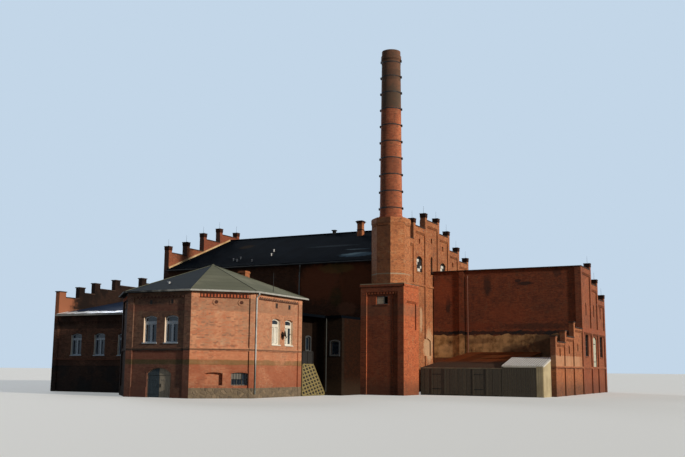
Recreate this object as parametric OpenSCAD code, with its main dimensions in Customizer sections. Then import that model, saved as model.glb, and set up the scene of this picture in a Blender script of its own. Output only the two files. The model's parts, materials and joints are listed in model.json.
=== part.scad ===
// Brick factory: a gabled hall with a banded chimney, a blank wing, sheds in the yard,
// a low range with a lean-to roof, and an eight-sided pavilion with a timber double door.
// Millimetres, Z up, ground at 0. The origin is the centre of the chimney's foot.
// The hall's long front faces -Y and its wing runs towards +X.

/* [Masonry] */
// Thickness of the hall and wing walls
wall_t = 510; // [380:10:640]
// Thickness of the walls of the low buildings
low_t = 380; // [250:10:510]
// How far piers and friezes stand proud of the wall panels
pier_proud = 100; // [60:10:160]
// Side of a square gable pier
pier_w = 475; // [380:5:600]
// Height of a pier above the wall beside it
pier_rise = 545; // [350:5:700]
// Thickness of a sheet of glass with its glazing bars
glass_t = 30; // [20:5:50]
// Thickness of the coping slabs
coping_t = 70; // [40:5:120]
// How far the coping slabs overhang
coping_lip = 45; // [20:5:80]
// Height of the frieze under a gable step
frieze_h = 420; // [250:10:600]
// Mortar bed or play between a carried piece and its seat
seat = 0.2; // [0.1:0.1:0.5]

/* [Hall] */
// Length of the hall between the gables' outer faces
hall_l = 22100; // [18000:100:24000]
// Distance between the two middle piers of a gable
centre_bay = 2980; // [2600:20:3400]
// Distance between the other piers of a gable
side_bay = 2620; // [2400:20:2800]
// Top of the front wall under the eave
hall_eave = 10420; // [10000:20:10600]
// Top of the gable's middle bay
gable_top = 14760; // [14600:20:15600]
// Step down to the second bay
step_1 = 820; // [500:10:900]
// Step down to the third bay
step_2 = 1190; // [900:10:1250]
// Step down to the outer bay
step_3 = 710; // [500:10:760]
// Underside of the hall roof at the ridge
hall_ridge = 14180; // [13800:20:14300]
// Thickness of the main roofs
roof_t = 180; // [100:10:260]
// Roof overhang at the hall's long walls
hall_over = 260; // [100:10:400]
// Height of the belt course across the gable
belt_z = 9050; // [8600:10:9400]
// Height of a belt course
belt_h = 150; // [80:10:250]
// Side of the brick vent on the hall roof
vent_w = 480; // [380:10:700]
// Top of the brick vent
vent_top = 15060; // [14800:20:15400]
// Distance of the vent from the right gable
vent_x = 6480; // [5500:20:7500]
// Distance of the vent in front of the ridge
vent_y = 1500; // [900:20:2500]

/* [Hall openings] */
// Width of the arched windows high in the gables
gable_win_w = 1280; // [1000:20:1500]
// Sill of those windows
gable_win_z = 10100; // [9800:20:10400]
// Height of those windows
gable_win_h = 1350; // [1000:10:1500]
// Width of the slit in the middle bay
slit_w = 450; // [300:10:600]
// Height of the slit
slit_h = 1600; // [1200:20:1900]
// Width of the small blind niches
niche_w = 350; // [250:10:450]
// Height of the small blind niches
niche_h = 450; // [300:10:600]
// Depth of a blind niche
niche_d = 120; // [60:10:180]
// Distance from a bay's top to the top of its niche
niche_drop = 950; // [700:10:1300]
// Centre of the blocked window low in the gable, from the gable's corner
low_win_x = 8385; // [7800:5:8500]
// Width of the blocked window
low_win_w = 1830; // [1200:10:1900]
// Sill of the blocked window
low_win_z = 3020; // [2600:10:3400]
// Height of the blocked window
low_win_h = 1490; // [1100:10:1700]
// Number of window bays in the hall's back wall
back_bays = 5; // [4:1:6]
// Width of the windows in the back wall
back_win_w = 1100; // [900:10:1300]
// Height of the windows in the back wall
back_win_h = 2200; // [1600:20:2600]
// Sill of the lower row
back_win_z1 = 1200; // [900:20:1600]
// Sill of the upper row
back_win_z2 = 6400; // [5600:20:7000]

/* [Chimney] */
// Centre of the chimney to the right of the hall's front corner
stack_dx = 670; // [600:10:760]
// Centre of the chimney in front of the hall's front wall
stack_dy = 950; // [880:10:1040]
// Width of the eight-sided base across flats
base_af = 2770; // [2500:10:2960]
// Top of the eight-sided base
base_top = 13400; // [12800:50:14000]
// Diameter at the foot of the round shaft
shaft_d1 = 1770; // [1600:10:1900]
// Diameter of the shaft under its crown
shaft_d2 = 1490; // [1350:10:1560]
// Top of the chimney
stack_top = 27050; // [25000:50:28000]
// Diameter of the flue
flue_d = 820; // [600:10:1000]
// Number of steel bands
band_n = 10; // [6:1:12]
// Height of a steel band
band_h = 90; // [60:5:140]
// Thickness of a steel band
band_t = 16; // [8:1:30]
// Height of the lowest band over the base
band_z = 800; // [600:10:1000]
// How far the crown's ring stands proud of the shaft
crown_proud = 55; // [30:5:90]
// Height of the crown's ring
crown_h = 280; // [200:10:400]
// Distance of that ring below the chimney's top
crown_drop = 420; // [300:10:600]
// Height of the round foot under the shaft
foot_h = 220; // [120:10:300]
// How far the cornice of the base stands proud
cornice_proud = 40; // [20:5:90]

/* [Chimney tower] */
// Left face of the tower from the hall's corner
tower_x = -140; // [-160:10:-100]
// Width of the tower's front
tower_w = 3440; // [3200:20:3600]
// Front face of the tower in front of the hall
tower_y = -4600; // [-4900:20:-4300]
// Depth of the tower
tower_l = 2830; // [2600:10:2950]
// Top of the tower walls
tower_top = 7850; // [7400:10:8200]
// Thickness of the tower's roof slab
tower_slab = 200; // [120:10:300]
// Centre of the tower's window from its left face
tower_win_x = 1680; // [1400:10:1900]
// Width of the tower's window
tower_win_w = 940; // [600:10:1000]
// Sill of the tower's window
tower_win_z = 6530; // [6200:10:6700]
// Height of the tower's window
tower_win_h = 600; // [400:10:700]
// Centre of the tall recess right of the window
recess_x = 2720; // [2600:5:2900]
// Width of the tall recess
recess_w = 420; // [400:10:700]
// Height of the tall recess
recess_h = 6100; // [5000:20:6200]
// Height of the panel in the tower's right face
panel_h = 2080; // [1600:20:2200]

/* [Wing] */
// Length of the wing
wing_l = 12900; // [12000:100:14000]
// Setback of the wing behind the hall's front
wing_y = 9700; // [9300:20:10000]
// Top of the wing's front wall
wing_top = 10350; // [9900:10:10600]
// Distance from the wing's front to its first gable pier
wing_pier_1 = 3710; // [3500:10:3900]
// Distance from the first to the second gable pier
wing_pier_2 = 2640; // [2400:10:2800]
// Step down behind a gable pier
wing_step = 1150; // [1000:10:1200]
// Height of the front wall above the wing roof behind it
wing_drop = 350; // [250:10:450]
// Fall of the wing roof to the back
wing_fall = 3300; // [3200:10:3500]
// Overhang of the wing roof at its back
wing_over = 200; // [100:10:300]
// Centre of the front's single pier from the hall
wing_pier_c = 2610; // [2300:10:2900]
// Width of the outer windows in the wing's gable
wing_win_w = 1200; // [900:10:1400]
// Sill of the outer windows
wing_win_z = 3050; // [2800:10:3300]
// Height of the outer windows
wing_win_h = 1900; // [1500:10:2100]
// Width of the loading hatch between them
hatch_w = 1500; // [1200:10:1700]
// Sill of the loading hatch
hatch_z = 2200; // [2200:10:2400]
// Height of the loading hatch
hatch_h = 2550; // [2200:10:2700]
// Top of the belt above the wing's windows
wing_belt = 5400; // [5200:10:5600]
// Height of the wing gable's tall niches
tall_niche_h = 1060; // [800:10:1300]
// Foot of the tall niches
tall_niche_z = 6450; // [6200:10:6700]
// Top of the plinth belt round the wing and the yard wall
plinth_belt = 2200; // [2000:10:2200]

/* [Yard wall] */
// Length of the stepped yard wall in front of the wing
yard_l = 9060; // [8600:20:9200]
// Top of its lowest bay
yard_top = 3910; // [3800:10:4100]
// Rise from the lowest bay to the middle one
yard_step = 490; // [400:10:600]
// Rise from the middle bay to the highest one
yard_last_step = 800; // [600:10:900]
// Rise of the yard wall's piers above its bays
yard_pier_rise = 390; // [250:10:500]
// Thickness of the yard wall
yard_t = 380; // [250:10:510]
// Foot of the niche in the yard wall's lowest bay
yard_niche_z = 2900; // [2600:10:3000]

/* [Sheds] */
// Front of the sheds in front of the yard wall's end
shed_out = 2070; // [1800:10:2300]
// Eave of the long shed
shed_eave = 1950; // [1850:10:2000]
// Rise of the long shed's roof
shed_rise = 1350; // [1150:10:1450]
// Thickness of the shed walls
shed_t = 150; // [100:10:240]
// Thickness of the shed roofs
shed_roof_t = 60; // [30:5:100]
// Width of the side shed
side_shed_w = 3000; // [2600:20:3300]
// Depth of the side shed
side_shed_l = 2570; // [2200:10:2800]
// Eave of the side shed
side_shed_eave = 2130; // [2060:10:2200]
// Rise of the side shed's roof
side_shed_rise = 620; // [500:10:700]

/* [Pavilion] */
// Left end of the pavilion's front face, from the hall's corner
pav_x = -9140; // [-9240:10:-9040]
// Length of the front face
pav_front = 4870; // [4700:10:5000]
// Run of a slanted corner along each side
pav_cut = 2730; // [2600:10:2800]
// Front face in front of the hall
pav_y = -19670; // [-19800:10:-19500]
// Depth of the pavilion
pav_l = 8670; // [8500:10:8800]
// Thickness of its walls
pav_t = 420; // [380:10:510]
// Top of its walls
pav_eave = 6450; // [6300:10:6600]
// Height of the roof's point above the walls
pav_rise = 2300; // [2000:20:2600]
// Distance of the roof's point behind the front face
pav_peak = 5520; // [5200:20:5800]
// Overhang of the pavilion roof
pav_over = 280; // [150:10:320]
// Thickness of the pavilion roof
pav_roof_t = 120; // [80:5:180]
// Top of the string course
string_z = 3050; // [2950:10:3150]
// Height of the string course
string_h = 190; // [100:10:260]
// How far string courses stand proud
string_proud = 60; // [30:5:90]
// Width of the pavilion's corner piers
pav_pier_w = 450; // [300:10:600]
// How far the corner piers stand proud
pav_pier_proud = 90; // [70:5:130]
// Top of the pavilion's upper floor
floor_z = 2850; // [2700:10:2850]
// Thickness of that floor
floor_t = 220; // [150:10:300]
// Sill of its upper windows
pav_sill = 3330; // [3200:10:3400]
// Width of its upper windows
pav_win_w = 1020; // [900:10:1100]
// Height of its upper windows
pav_win_h = 1680; // [1500:10:1750]
// Distance between its two front windows
pav_win_gap = 1640; // [1500:10:1900]
// First window of its right wall from the front corner
side_win_x = 2730; // [2500:10:2900]
// Distance between the right wall's windows
side_win_gap = 1620; // [1500:10:1900]
// Rise of a window's flat arch
win_rise = 120; // [60:10:200]
// Width of the basement openings in the right corner
base_win_w = 1050; // [800:10:1200]
// Sill of the basement openings
base_win_z = 780; // [600:10:900]
// Height of the basement openings
base_win_h = 780; // [600:10:900]
// First basement opening from the corner wall's left end
base_win_x = 1510; // [1300:10:1600]
// Distance between the basement openings
base_win_gap = 1580; // [1400:10:1590]
// Depth of the bricked-up basement opening
blocked_d = 260; // [100:10:320]
// Height of the cornice under the eave
cornice_h = 330; // [200:10:450]
// Height of the rubble plinth
plinth_h = 620; // [400:10:700]
// Side of the flue on the pavilion roof
pav_flue_w = 560; // [380:10:700]
// Top of the flue
pav_flue_top = 8450; // [8300:10:9000]
// Distance of the flue to the right of the roof's point
pav_flue_x = 1090; // [500:10:1500]
// Distance of the flue behind the roof's point
pav_flue_y = 1500; // [1200:10:2000]

/* [Gutters and pipes] */
// Width of a gutter
gutter_w = 110; // [90:5:150]
// Sheet thickness of a gutter
gutter_t = 6; // [4:1:8]
// Diameter of a downpipe
pipe_d = 95; // [75:5:120]
// Gap between a downpipe and the wall
pipe_gap = 30; // [20:5:60]
// Foot of a downpipe above the ground
pipe_z = 250; // [150:10:400]
// Downpipe on the wing's front from the hall
wing_pipe_x = 3150; // [3000:10:3300]

/* [Double door] */
// Width of the doorway
door_w = 1860; // [1700:10:2000]
// Crown of the doorway's arch
door_h = 1800; // [1700:10:1900]
// Rise of the doorway's arch
door_rise = 330; // [200:10:400]
// Centre of the doorway from the front face's left end
door_x = 2580; // [2400:10:2700]
// Width of a frame post
post_w = 70; // [50:5:100]
// Height of a leaf
leaf_h = 1340; // [1200:10:1380]
// Thickness of a leaf
leaf_t = 50; // [35:1:70]
// Gap round a leaf
leaf_gap = 10; // [8:1:16]
// How far the leaves sit behind the wall's face
leaf_in = 90; // [60:5:140]
// Radius of a hinge pin
pin_r = 8; // [6:1:12]
// Clearance between pin and strap eye
pin_clear = 0.3; // [0.2:0.1:0.8]

/* [Low range] */
// Front of the low range before the hall
range_y = -13500; // [-13700:10:-13300]
// Eave of its lean-to roof
range_eave = 5620; // [5400:10:5700]
// Rise of the lean-to roof to the hall
range_rise = 2700; // [2400:20:2900]
// Thickness of the lean-to roof
range_roof_t = 140; // [100:10:200]
// Overhang of the lean-to roof at its front
range_over = 300; // [150:10:350]
// Left face of the range behind the hall's left face
range_inset = 630; // [400:10:800]
// Top of the side parapet's first bay
parapet_top = 7000; // [6800:10:7200]
// Rise of the side parapet from bay to bay
parapet_step = 470; // [400:10:520]
// Height of a parapet pier above its bay
parapet_rise = 400; // [300:10:500]
// Width of a parapet pier
parapet_pier = 600; // [475:5:750]
// How far the side parapet's end stands proud of the range's front
range_proud = 80; // [60:5:120]
// Distance from the first parapet pier to the second
parapet_bay_1 = 2000; // [1700:10:2200]
// Distance from the second to the third
parapet_bay_2 = 1700; // [1500:10:1900]
// Distance from the third to the fourth
parapet_bay_3 = 2350; // [2100:10:2600]
// Distance from the fourth to the fifth
parapet_bay_4 = 3300; // [3000:10:3500]
// Distance between the range's windows, and from its left face to the first
range_win_gap = 2235; // [2000:5:2300]
// Width of the range's windows
range_win_w = 1000; // [850:10:1100]
// Sill of the range's windows
range_win_z = 2660; // [2600:10:2900]
// Height of the range's windows
range_win_h = 1600; // [1400:10:1700]
// Top of the range's string course
range_string = 2530; // [2400:10:2560]

/* [Link] */
// Front of the link beside the pavilion
link_y = -7600; // [-7800:10:-7400]
// Top of the link's walls
link_top = 5400; // [5200:10:5500]
// Thickness of the link's flat roof
link_roof_t = 180; // [120:10:240]
// How far the link's side wall is set back for the stair
link_back = 1000; // [950:10:1100]
// Overhang of the link's flat roof
link_over = 120; // [60:10:200]
// Centre of the link's front window from its left end
link_win_x = 1850; // [1700:10:1950]
// Width of the link's windows
link_win_w = 650; // [500:10:750]
// Sill of the link's windows
link_win_z = 2800; // [2600:10:3000]
// Height of the link's windows
link_win_h = 980; // [800:10:1100]
// Width of the door onto the landing
link_door_w = 850; // [750:10:950]
// Height of the door onto the landing
link_door_h = 2000; // [1900:10:2100]
// Centre of that door from the pavilion's back
link_door_x = 800; // [600:10:900]
// Centre of the window beside the door, from the pavilion's back
side_light_x = 2830; // [2500:10:2900]

/* [Outside stair] */
// Height of the landing
landing_z = 2160; // [2000:10:2300]
// Length of the landing
landing_l = 1620; // [1500:10:1640]
// How far the stair stands proud of the pavilion's face
stair_proud = 100; // [50:10:150]
// Number of risers
riser_n = 11; // [9:1:11]
// Gap between the stair's foot and the link's front wall
stair_end = 80; // [40:5:200]
// Thickness of treads and landing
tread_t = 60; // [40:5:80]
// Thickness of the stair's side beams
beam_t = 60; // [50:5:90]
// Thickness of the pierced cheek that hides the stair
cheek_t = 60; // [40:5:80]
// Side of the square holes in the cheek
hole_w = 90; // [60:5:110]
// Distance between the holes
hole_gap = 190; // [160:5:240]
// Height of the boarded balustrade on the landing
rail_h = 800; // [700:10:1000]

/* [Hidden] */
$fn = 48;
eps = 5;

brick = "#a5472c";
brick_dark = "#6b2f24";
felt = "#3b4046";
felt_green = "#6f7566";
cap_stone = "#4a3b36";
timber = "#8d8a7c";
pane = "#9fb6c4";
steel = "#3a3a3c";
plaster = "#cfc3ad";

hall_w = centre_bay + 6 * side_bay + pier_w;
panel_y = pier_proud;
gable_slope = (hall_ridge - hall_eave) / (hall_w / 2);
bay_tops = [gable_top, gable_top - step_1, gable_top - step_1 - step_2,
            gable_top - step_1 - step_2 - step_3];
wing_w = hall_w - wing_y;
wing_slope = wing_fall / wing_w;
wing_roof_top = wing_top - wing_drop;
yard_y = wing_y - yard_l;
base_r = base_af / 2 / cos(22.5);
pav_x1 = pav_x + pav_front;
pav_left = pav_x - pav_cut;
pav_right = pav_x1 + pav_cut;
pav_back = pav_y + pav_l;
pav_w = pav_right - pav_left;
range_x = range_inset - hall_l;
range_l = pav_left - range_x;
range_slope = range_rise / (-range_y);
link_x = pav_right - link_back;
shaft_taper = (shaft_d1 - shaft_d2) / 2 / (stack_top - base_top);
high = stack_top;

// Moves a shape drawn from the hall's front right corner to the part's own origin
module site() translate([-stack_dx, stack_dy, 0]) children();

// Stands on a wall's outer face at a plan point: x runs along it, y into it, z up
module on_wall(p, turn) translate([p[0], p[1], 0]) rotate([0, 0, turn]) children();

// Pushes an elevation drawn in x and z through a wall from depth y0 to depth y1
module through(y0, y1) translate([0, y1, 0]) rotate([90, 0, 0]) linear_extrude(y1 - y0) children();

// Elevation of an opening with a segmental head, centred on x
module arched(x, sill, w, h, rise) {
    r = (w * w / 4 + rise * rise) / (2 * rise);
    translate([x - w / 2, sill]) square([w, h - rise - 1]);
    intersection() {
        translate([x, sill + h - r]) circle(r);
        translate([x - w / 2, sill + h - rise - 3]) square([w, rise + 5]);
    }
}

// Elevation rectangle centred on x
module flat(x, z, w, h) translate([x - w / 2, z]) square([w, h]);

module octagon_prism(af, z0, z1) translate([0, 0, z0]) rotate([0, 0, 22.5])
    cylinder(r = af / 2 / cos(22.5), h = z1 - z0, $fn = 8);

// The chimney's base as a space that the walls beside it are bonded against
module stack_space() translate([stack_dx, -stack_dy, -eps]) octagon_prism(base_af, 0, base_top + eps);

module stack_base() color(brick) difference() {
    union() {
        octagon_prism(base_af, 0, base_top);
        octagon_prism(base_af + 2 * cornice_proud, base_top - frieze_h, base_top - coping_t);
        octagon_prism(base_af + cornice_proud, base_top - frieze_h - coping_t, base_top - frieze_h);
    }
    translate([0, 0, base_top / 2]) cylinder(d = flue_d, h = base_top, $fn = 64);
}

module shaft_body(grow, z0, z1) translate([0, 0, z0])
    cylinder(r1 = shaft_d1 / 2 - shaft_taper * (z0 - base_top) + grow,
             r2 = shaft_d1 / 2 - shaft_taper * (z1 - base_top) + grow, h = z1 - z0, $fn = 64);

module stack_shaft() color(brick) difference() {
    union() {
        shaft_body(0, base_top + seat, stack_top);
        shaft_body(crown_proud, crown_z, crown_z + crown_h);
        shaft_body(crown_proud / 2, crown_z - coping_t, crown_z);
        translate([0, 0, base_top + seat]) cylinder(d = shaft_d1 + 2 * coping_lip, h = foot_h, $fn = 64);
    }
    translate([0, 0, base_top - eps]) cylinder(d = flue_d, h = stack_top - base_top + 2 * eps, $fn = 64);
}

crown_z = stack_top - crown_drop - crown_h;
band_pitch = (crown_z - coping_t - band_h - base_top - band_z) / (band_n - 1);

module stack_bands() color(steel) for (i = [0:band_n - 1]) {
    z = base_top + band_z + i * band_pitch - (i == band_n - 1 ? 2 * band_h : 0);
    difference() {
        shaft_body(band_t, z, z + band_h);
        shaft_body(seat, z - eps, z + band_h + eps);
    }
}

module tower_walls() color(brick) site() difference() {
    on_wall([tower_x, tower_y], 0) difference() {
        union() {
            translate([pier_proud, pier_proud, 0])
                cube([tower_w - 2 * pier_proud, tower_l - pier_proud, tower_top]);
            for (x = [0, tower_w - pier_w]) translate([x, 0, 0]) cube([pier_w, tower_l, tower_top]);
            translate([0, 0, tower_top - frieze_h]) cube([tower_w, tower_l, frieze_h]);
        }
        translate([low_t, low_t, -eps])
            cube([tower_w - 2 * low_t, tower_l - 2 * low_t, tower_top + 2 * eps]);
        through(-eps, low_t + eps) flat(tower_win_x, tower_win_z, tower_win_w, tower_win_h);
        through(-eps, low_t / 2) flat(recess_x, tower_top - frieze_h - recess_h, recess_w, recess_h);
    }
    on_wall([tower_x + tower_w, tower_y], 90) through(-eps, pier_proud)
        flat(tower_l / 2, tower_top - 2.5 * frieze_h - panel_h, tower_l - 2 * pier_w, panel_h);
    stack_space();
}

module tower_roof() color(felt) site() difference() {
    translate([tower_x - coping_lip, tower_y - coping_lip, tower_top + seat])
        cube([tower_w + 2 * coping_lip, tower_l + coping_lip, tower_slab]);
    stack_space();
}

// A long wall of the hall, its top planed to the roof's underside
module long_wall() difference() {
    cube([hall_l - 2 * wall_t, wall_t, hall_eave + gable_slope * wall_t]);
    translate([-eps, 0, -seat]) main_slope(hall_l, high);
}

module hall_front_wall() color(brick_dark) site() difference() {
    translate([-hall_l + wall_t, 0, 0]) long_wall();
    stack_space();
}

module back_windows(y0, y1) for (i = [0:back_bays - 1]) for (z = [back_win_z1, back_win_z2])
    through(y0, y1) arched(hall_l * (i + 0.5) / back_bays, z, back_win_w, back_win_h, 2 * win_rise);

module hall_back_wall() color(brick) site() difference() {
    on_wall([-wall_t, hall_w], 180) long_wall();
    on_wall([0, hall_w], 180) back_windows(-eps, wall_t + eps);
}

// Elevation of the stepped gable's panels, from the left pier to the right one
module gable_panels() {
    for (b = [0:3]) for (s = b == 0 ? [1] : [-1, 1]) {
        w = b == 0 ? centre_bay : side_bay;
        x = hall_w / 2 + s * (b == 0 ? 0 : centre_bay / 2 + (b - 0.5) * side_bay);
        flat(x, 0, w + pier_w, bay_tops[b]);
    }
}

function gable_pier_x(k) = hall_w / 2
    + (k < 4 ? -1 : 1) * (centre_bay / 2 + (k < 4 ? 3 - k : k - 4) * side_bay);
function gable_pier_top(k) = bay_tops[k < 4 ? 3 - k : k - 4] + pier_rise;

module hall_gable() difference() {
    union() {
        through(panel_y, wall_t) gable_panels();
        for (k = [0:7]) through(0, pier_w) flat(gable_pier_x(k), 0, pier_w, gable_pier_top(k));
        for (b = [0:3]) for (s = b == 0 ? [1] : [-1, 1])
            through(0, wall_t) flat(hall_w / 2 + s * (b == 0 ? 0 : centre_bay / 2 + (b - 0.5) * side_bay),
                bay_tops[b] - frieze_h, b == 0 ? centre_bay : side_bay, frieze_h);
        through(0, wall_t) translate([0, belt_z - belt_h]) square([hall_w, belt_h]);
    }
    gable_cuts();
}

function gable_bay_x(k) = (gable_pier_x(k) + gable_pier_x(k + 1)) / 2;

// Windows high in the gable: a slit in the middle bay, arched ones in the bays beside it
module gable_lights() {
    arched(gable_bay_x(3), gable_win_z, slit_w, slit_h, 0.45 * slit_w);
    for (k = [2, 4]) arched(gable_bay_x(k), gable_win_z, gable_win_w, gable_win_h, 2 * win_rise);
}

module gable_cuts() {
    through(-eps, wall_t + eps) gable_lights();
    for (k = [1:5]) through(-eps, panel_y + niche_d)
        arched(gable_bay_x(k), bay_tops[abs(k - 3)] - niche_drop - (k == 3 ? 2 : 1) * niche_h,
            niche_w, niche_h, niche_w / 3);
    through(-eps, panel_y + niche_d) arched(low_win_x, low_win_z, low_win_w, low_win_h, 2 * win_rise);
}

module hall_right_gable() color(brick) site() difference() {
    on_wall([0, 0], 90) hall_gable();
    stack_space();
}

module hall_left_gable() color(brick) site() on_wall([-hall_l, hall_w], -90) hall_gable();

// A slope of the hall's roof, l long and t thick, from its overhanging eave to the ridge
module main_slope(l, t) rotate([90, 0, 90]) linear_extrude(l) polygon([
    [-hall_over, hall_eave - gable_slope * hall_over], [hall_w / 2, hall_ridge],
    [hall_w / 2, hall_ridge + t], [-hall_over, hall_eave - gable_slope * hall_over + t]]);

module hall_roof_front() color(felt) site() difference() {
    translate([-hall_l + wall_t, 0, 0]) main_slope(hall_l - 2 * wall_t, roof_t);
    stack_space();
}

module hall_roof_back() color(felt) site() on_wall([-wall_t, hall_w], 180)
    main_slope(hall_l - 2 * wall_t, roof_t);

module gable_coping_set() {
    for (k = [0:7]) translate([gable_pier_x(k) - pier_w / 2 - coping_lip, -coping_lip, gable_pier_top(k)])
        cube([pier_w + 2 * coping_lip, pier_w + 2 * coping_lip, coping_t]);
    for (k = [0:6]) translate([gable_pier_x(k) + pier_w / 2, -coping_lip, bay_tops[abs(k - 3)]])
        cube([gable_pier_x(k + 1) - gable_pier_x(k) - pier_w, wall_t + 2 * coping_lip, coping_t]);
}

module gable_copings() color(cap_stone) site() {
    difference() {
        on_wall([0, 0], 90) gable_coping_set();
        stack_space();
    }
    on_wall([-hall_l, hall_w], -90) gable_coping_set();
}

// A sheet of glass in a wall's openings, at half the wall's depth
module glazed(t) through(t / 2, t / 2 + glass_t) children();

module hall_glass() color(pane) site() {
    for (side = [[[0, 0], 90], [[-hall_l, hall_w], -90]]) on_wall(side[0], side[1])
        glazed(wall_t) gable_lights();
    on_wall([0, hall_w], 180) back_windows(wall_t / 2, wall_t / 2 + glass_t);
}

module roof_vent() color(brick) site() difference() {
    translate([-vent_x - vent_w / 2, hall_w / 2 - vent_y, 0]) {
        cube([vent_w, vent_w, vent_top]);
        translate([-coping_lip, -coping_lip, vent_top - 2 * coping_t])
            cube([vent_w + 2 * coping_lip, vent_w + 2 * coping_lip, coping_t]);
    }
    translate([-hall_l, 0, seat - hall_ridge]) main_slope(hall_l, hall_ridge + roof_t);
}

module wing_front_wall() color(brick) site() on_wall([0, wing_y], 0) {
    through(panel_y, wall_t) square([wing_l - wall_t, wing_top]);
    through(0, wall_t) flat(wing_pier_c, 0, pier_w, wing_top);
}

function wing_pier_x(k) = k == 0 ? pier_w / 2 : k == 1 ? wing_pier_1
    : k == 2 ? wing_pier_1 + wing_pier_2 : wing_w - pier_w / 2;
function wing_bay_top(k) = wing_top - k * wing_step;

module wing_gable() color(brick) site() on_wall([wing_l, wing_y], 90) difference() {
    union() {
        for (k = [0:2]) through(panel_y, wall_t)
            translate([wing_pier_x(k) - pier_w / 2, 0])
                square([wing_pier_x(k + 1) - wing_pier_x(k) + pier_w, wing_bay_top(k)]);
        for (k = [0:3]) through(0, pier_w)
            flat(wing_pier_x(k), 0, pier_w, k == 0 ? wing_top : wing_bay_top(k - 1) + pier_rise);
        for (k = [0:2]) through(0, wall_t)
            translate([wing_pier_x(k), wing_bay_top(k) - frieze_h])
                square([wing_pier_x(k + 1) - wing_pier_x(k), frieze_h]);
        through(0, wall_t) translate([0, plinth_belt - belt_h]) square([wing_w, belt_h]);
        through(0, wall_t) translate([0, wing_belt - frieze_h]) square([wing_w, frieze_h]);
    }
    through(-eps, wall_t + eps) wing_lights();
    for (k = [0:2]) through(-eps, panel_y + niche_d)
        arched(wing_bay_x(k), tall_niche_z, niche_w, tall_niche_h, niche_w / 3);
}

function wing_bay_x(k) = (wing_pier_x(k) + wing_pier_x(k + 1)) / 2;

// The wing gable's windows, with a loading hatch in the middle bay
module wing_lights() {
    for (k = [0, 2]) arched(wing_bay_x(k), wing_win_z, wing_win_w, wing_win_h, 2 * win_rise);
    arched(wing_bay_x(1), hatch_z, hatch_w, hatch_h, 2 * win_rise);
}

module wing_back_lights() for (i = [0:2])
    arched((wing_l - wall_t) * (i + 0.5) / 3, wing_win_z, wing_win_w, wing_win_h, 2 * win_rise);

module wing_back_wall() color(brick) site() translate([0, hall_w - wall_t, 0]) difference() {
    cube([wing_l - wall_t, wall_t, wing_roof_top - wing_fall - seat]);
    on_wall([wing_l - wall_t, wall_t], 180) through(-eps, wall_t + eps) wing_back_lights();
}

module wing_roof() color(felt) site() translate([0, wing_y + wall_t, 0]) rotate([90, 0, 90])
    linear_extrude(wing_l - wall_t) mirror([1, 0]) translate([-wing_w + wall_t - wing_over, 0])
        lean_to(wing_w - wall_t + wing_over, wing_roof_top - wing_fall - wing_slope * wing_over,
                wing_slope * (wing_w - wall_t + wing_over), roof_t);

module wing_copings() color(cap_stone) site() {
    on_wall([wing_l, wing_y], 90) {
        for (k = [1:3])
            translate([wing_pier_x(k) - pier_w / 2 - coping_lip, -coping_lip,
                       wing_bay_top(k - 1) + pier_rise]) cube([pier_w + 2 * coping_lip, pier_w + 2 * coping_lip, coping_t]);
        for (k = [1:2]) translate([wing_pier_x(k) + pier_w / 2, -coping_lip, wing_bay_top(k)])
            cube([wing_pier_x(k + 1) - wing_pier_x(k) - pier_w, wall_t + 2 * coping_lip, coping_t]);
    }
    translate([0, wing_y - coping_lip, wing_top]) cube([wing_l - wall_t, wall_t + 2 * coping_lip, coping_t]);
    translate([wing_l - wall_t, wing_y - coping_lip, wing_top])
        cube([wall_t + coping_lip, wing_pier_1 - pier_w / 2 + coping_lip, coping_t]);
}

module wing_glass() color(pane) site() {
    on_wall([wing_l, wing_y], 90) glazed(wall_t) wing_lights();
    on_wall([wing_l - wall_t, hall_w], 180) glazed(wall_t) wing_back_lights();
}

function yard_pier_x(k) = pier_w / 2 + k * (yard_l - pier_w / 2) / 3;
function yard_bay_top(k) = yard_top + (k > 0 ? yard_step : 0) + (k > 1 ? yard_last_step : 0);

module yard_gable() color(brick) site() on_wall([wing_l, yard_y], 90) difference() {
    union() {
        for (k = [0:2]) through(panel_y, yard_t) translate([yard_pier_x(k), 0])
            square([yard_pier_x(k + 1) - yard_pier_x(k), yard_bay_top(k)]);
        for (k = [0:2]) through(0, yard_t)
            flat(yard_pier_x(k), 0, pier_w, yard_bay_top(k) + yard_pier_rise);
        through(0, yard_t) translate([0, plinth_belt - belt_h]) square([yard_l, belt_h]);
    }
    for (k = [0:2]) through(-eps, panel_y + niche_d)
        arched((yard_pier_x(k) + yard_pier_x(k + 1)) / 2, yard_niche_z + k * yard_step / 2,
            niche_w, 1.4 * niche_h, niche_w / 3);
}

module yard_copings() color(cap_stone) site() on_wall([wing_l, yard_y], 90) for (k = [0:2]) {
    translate([yard_pier_x(k) - pier_w / 2 - coping_lip, -coping_lip, yard_bay_top(k) + yard_pier_rise])
        cube([pier_w + 2 * coping_lip, yard_t + 2 * coping_lip, coping_t]);
    bay = yard_pier_x(k + 1) - yard_pier_x(k) - (k < 2 ? pier_w : pier_w / 2);
    translate([yard_pier_x(k) + pier_w / 2, -coping_lip, yard_bay_top(k)])
        cube([bay, yard_t + 2 * coping_lip, coping_t]);
}

shed_x = tower_x + tower_w;
shed_end = wing_l - yard_t - side_shed_w;
shed_y = yard_y - shed_out;

// Section of a lean-to roof of length l and rise h from its eave z, reaching up by t
module lean_to(l, z, h, t) polygon([[0, z], [l, z + h], [l, z + h + t], [0, z + t]]);

module long_shed_front() color(plaster) site() {
    translate([shed_x, shed_y, 0]) cube([shed_end - shed_x, shed_t, shed_eave - seat]);
}

module long_shed_roof() color(felt) site() translate([shed_x, shed_y, 0]) rotate([90, 0, 90])
    linear_extrude(shed_end - shed_x) lean_to(wing_y - shed_y, shed_eave, shed_rise, shed_roof_t);

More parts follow.
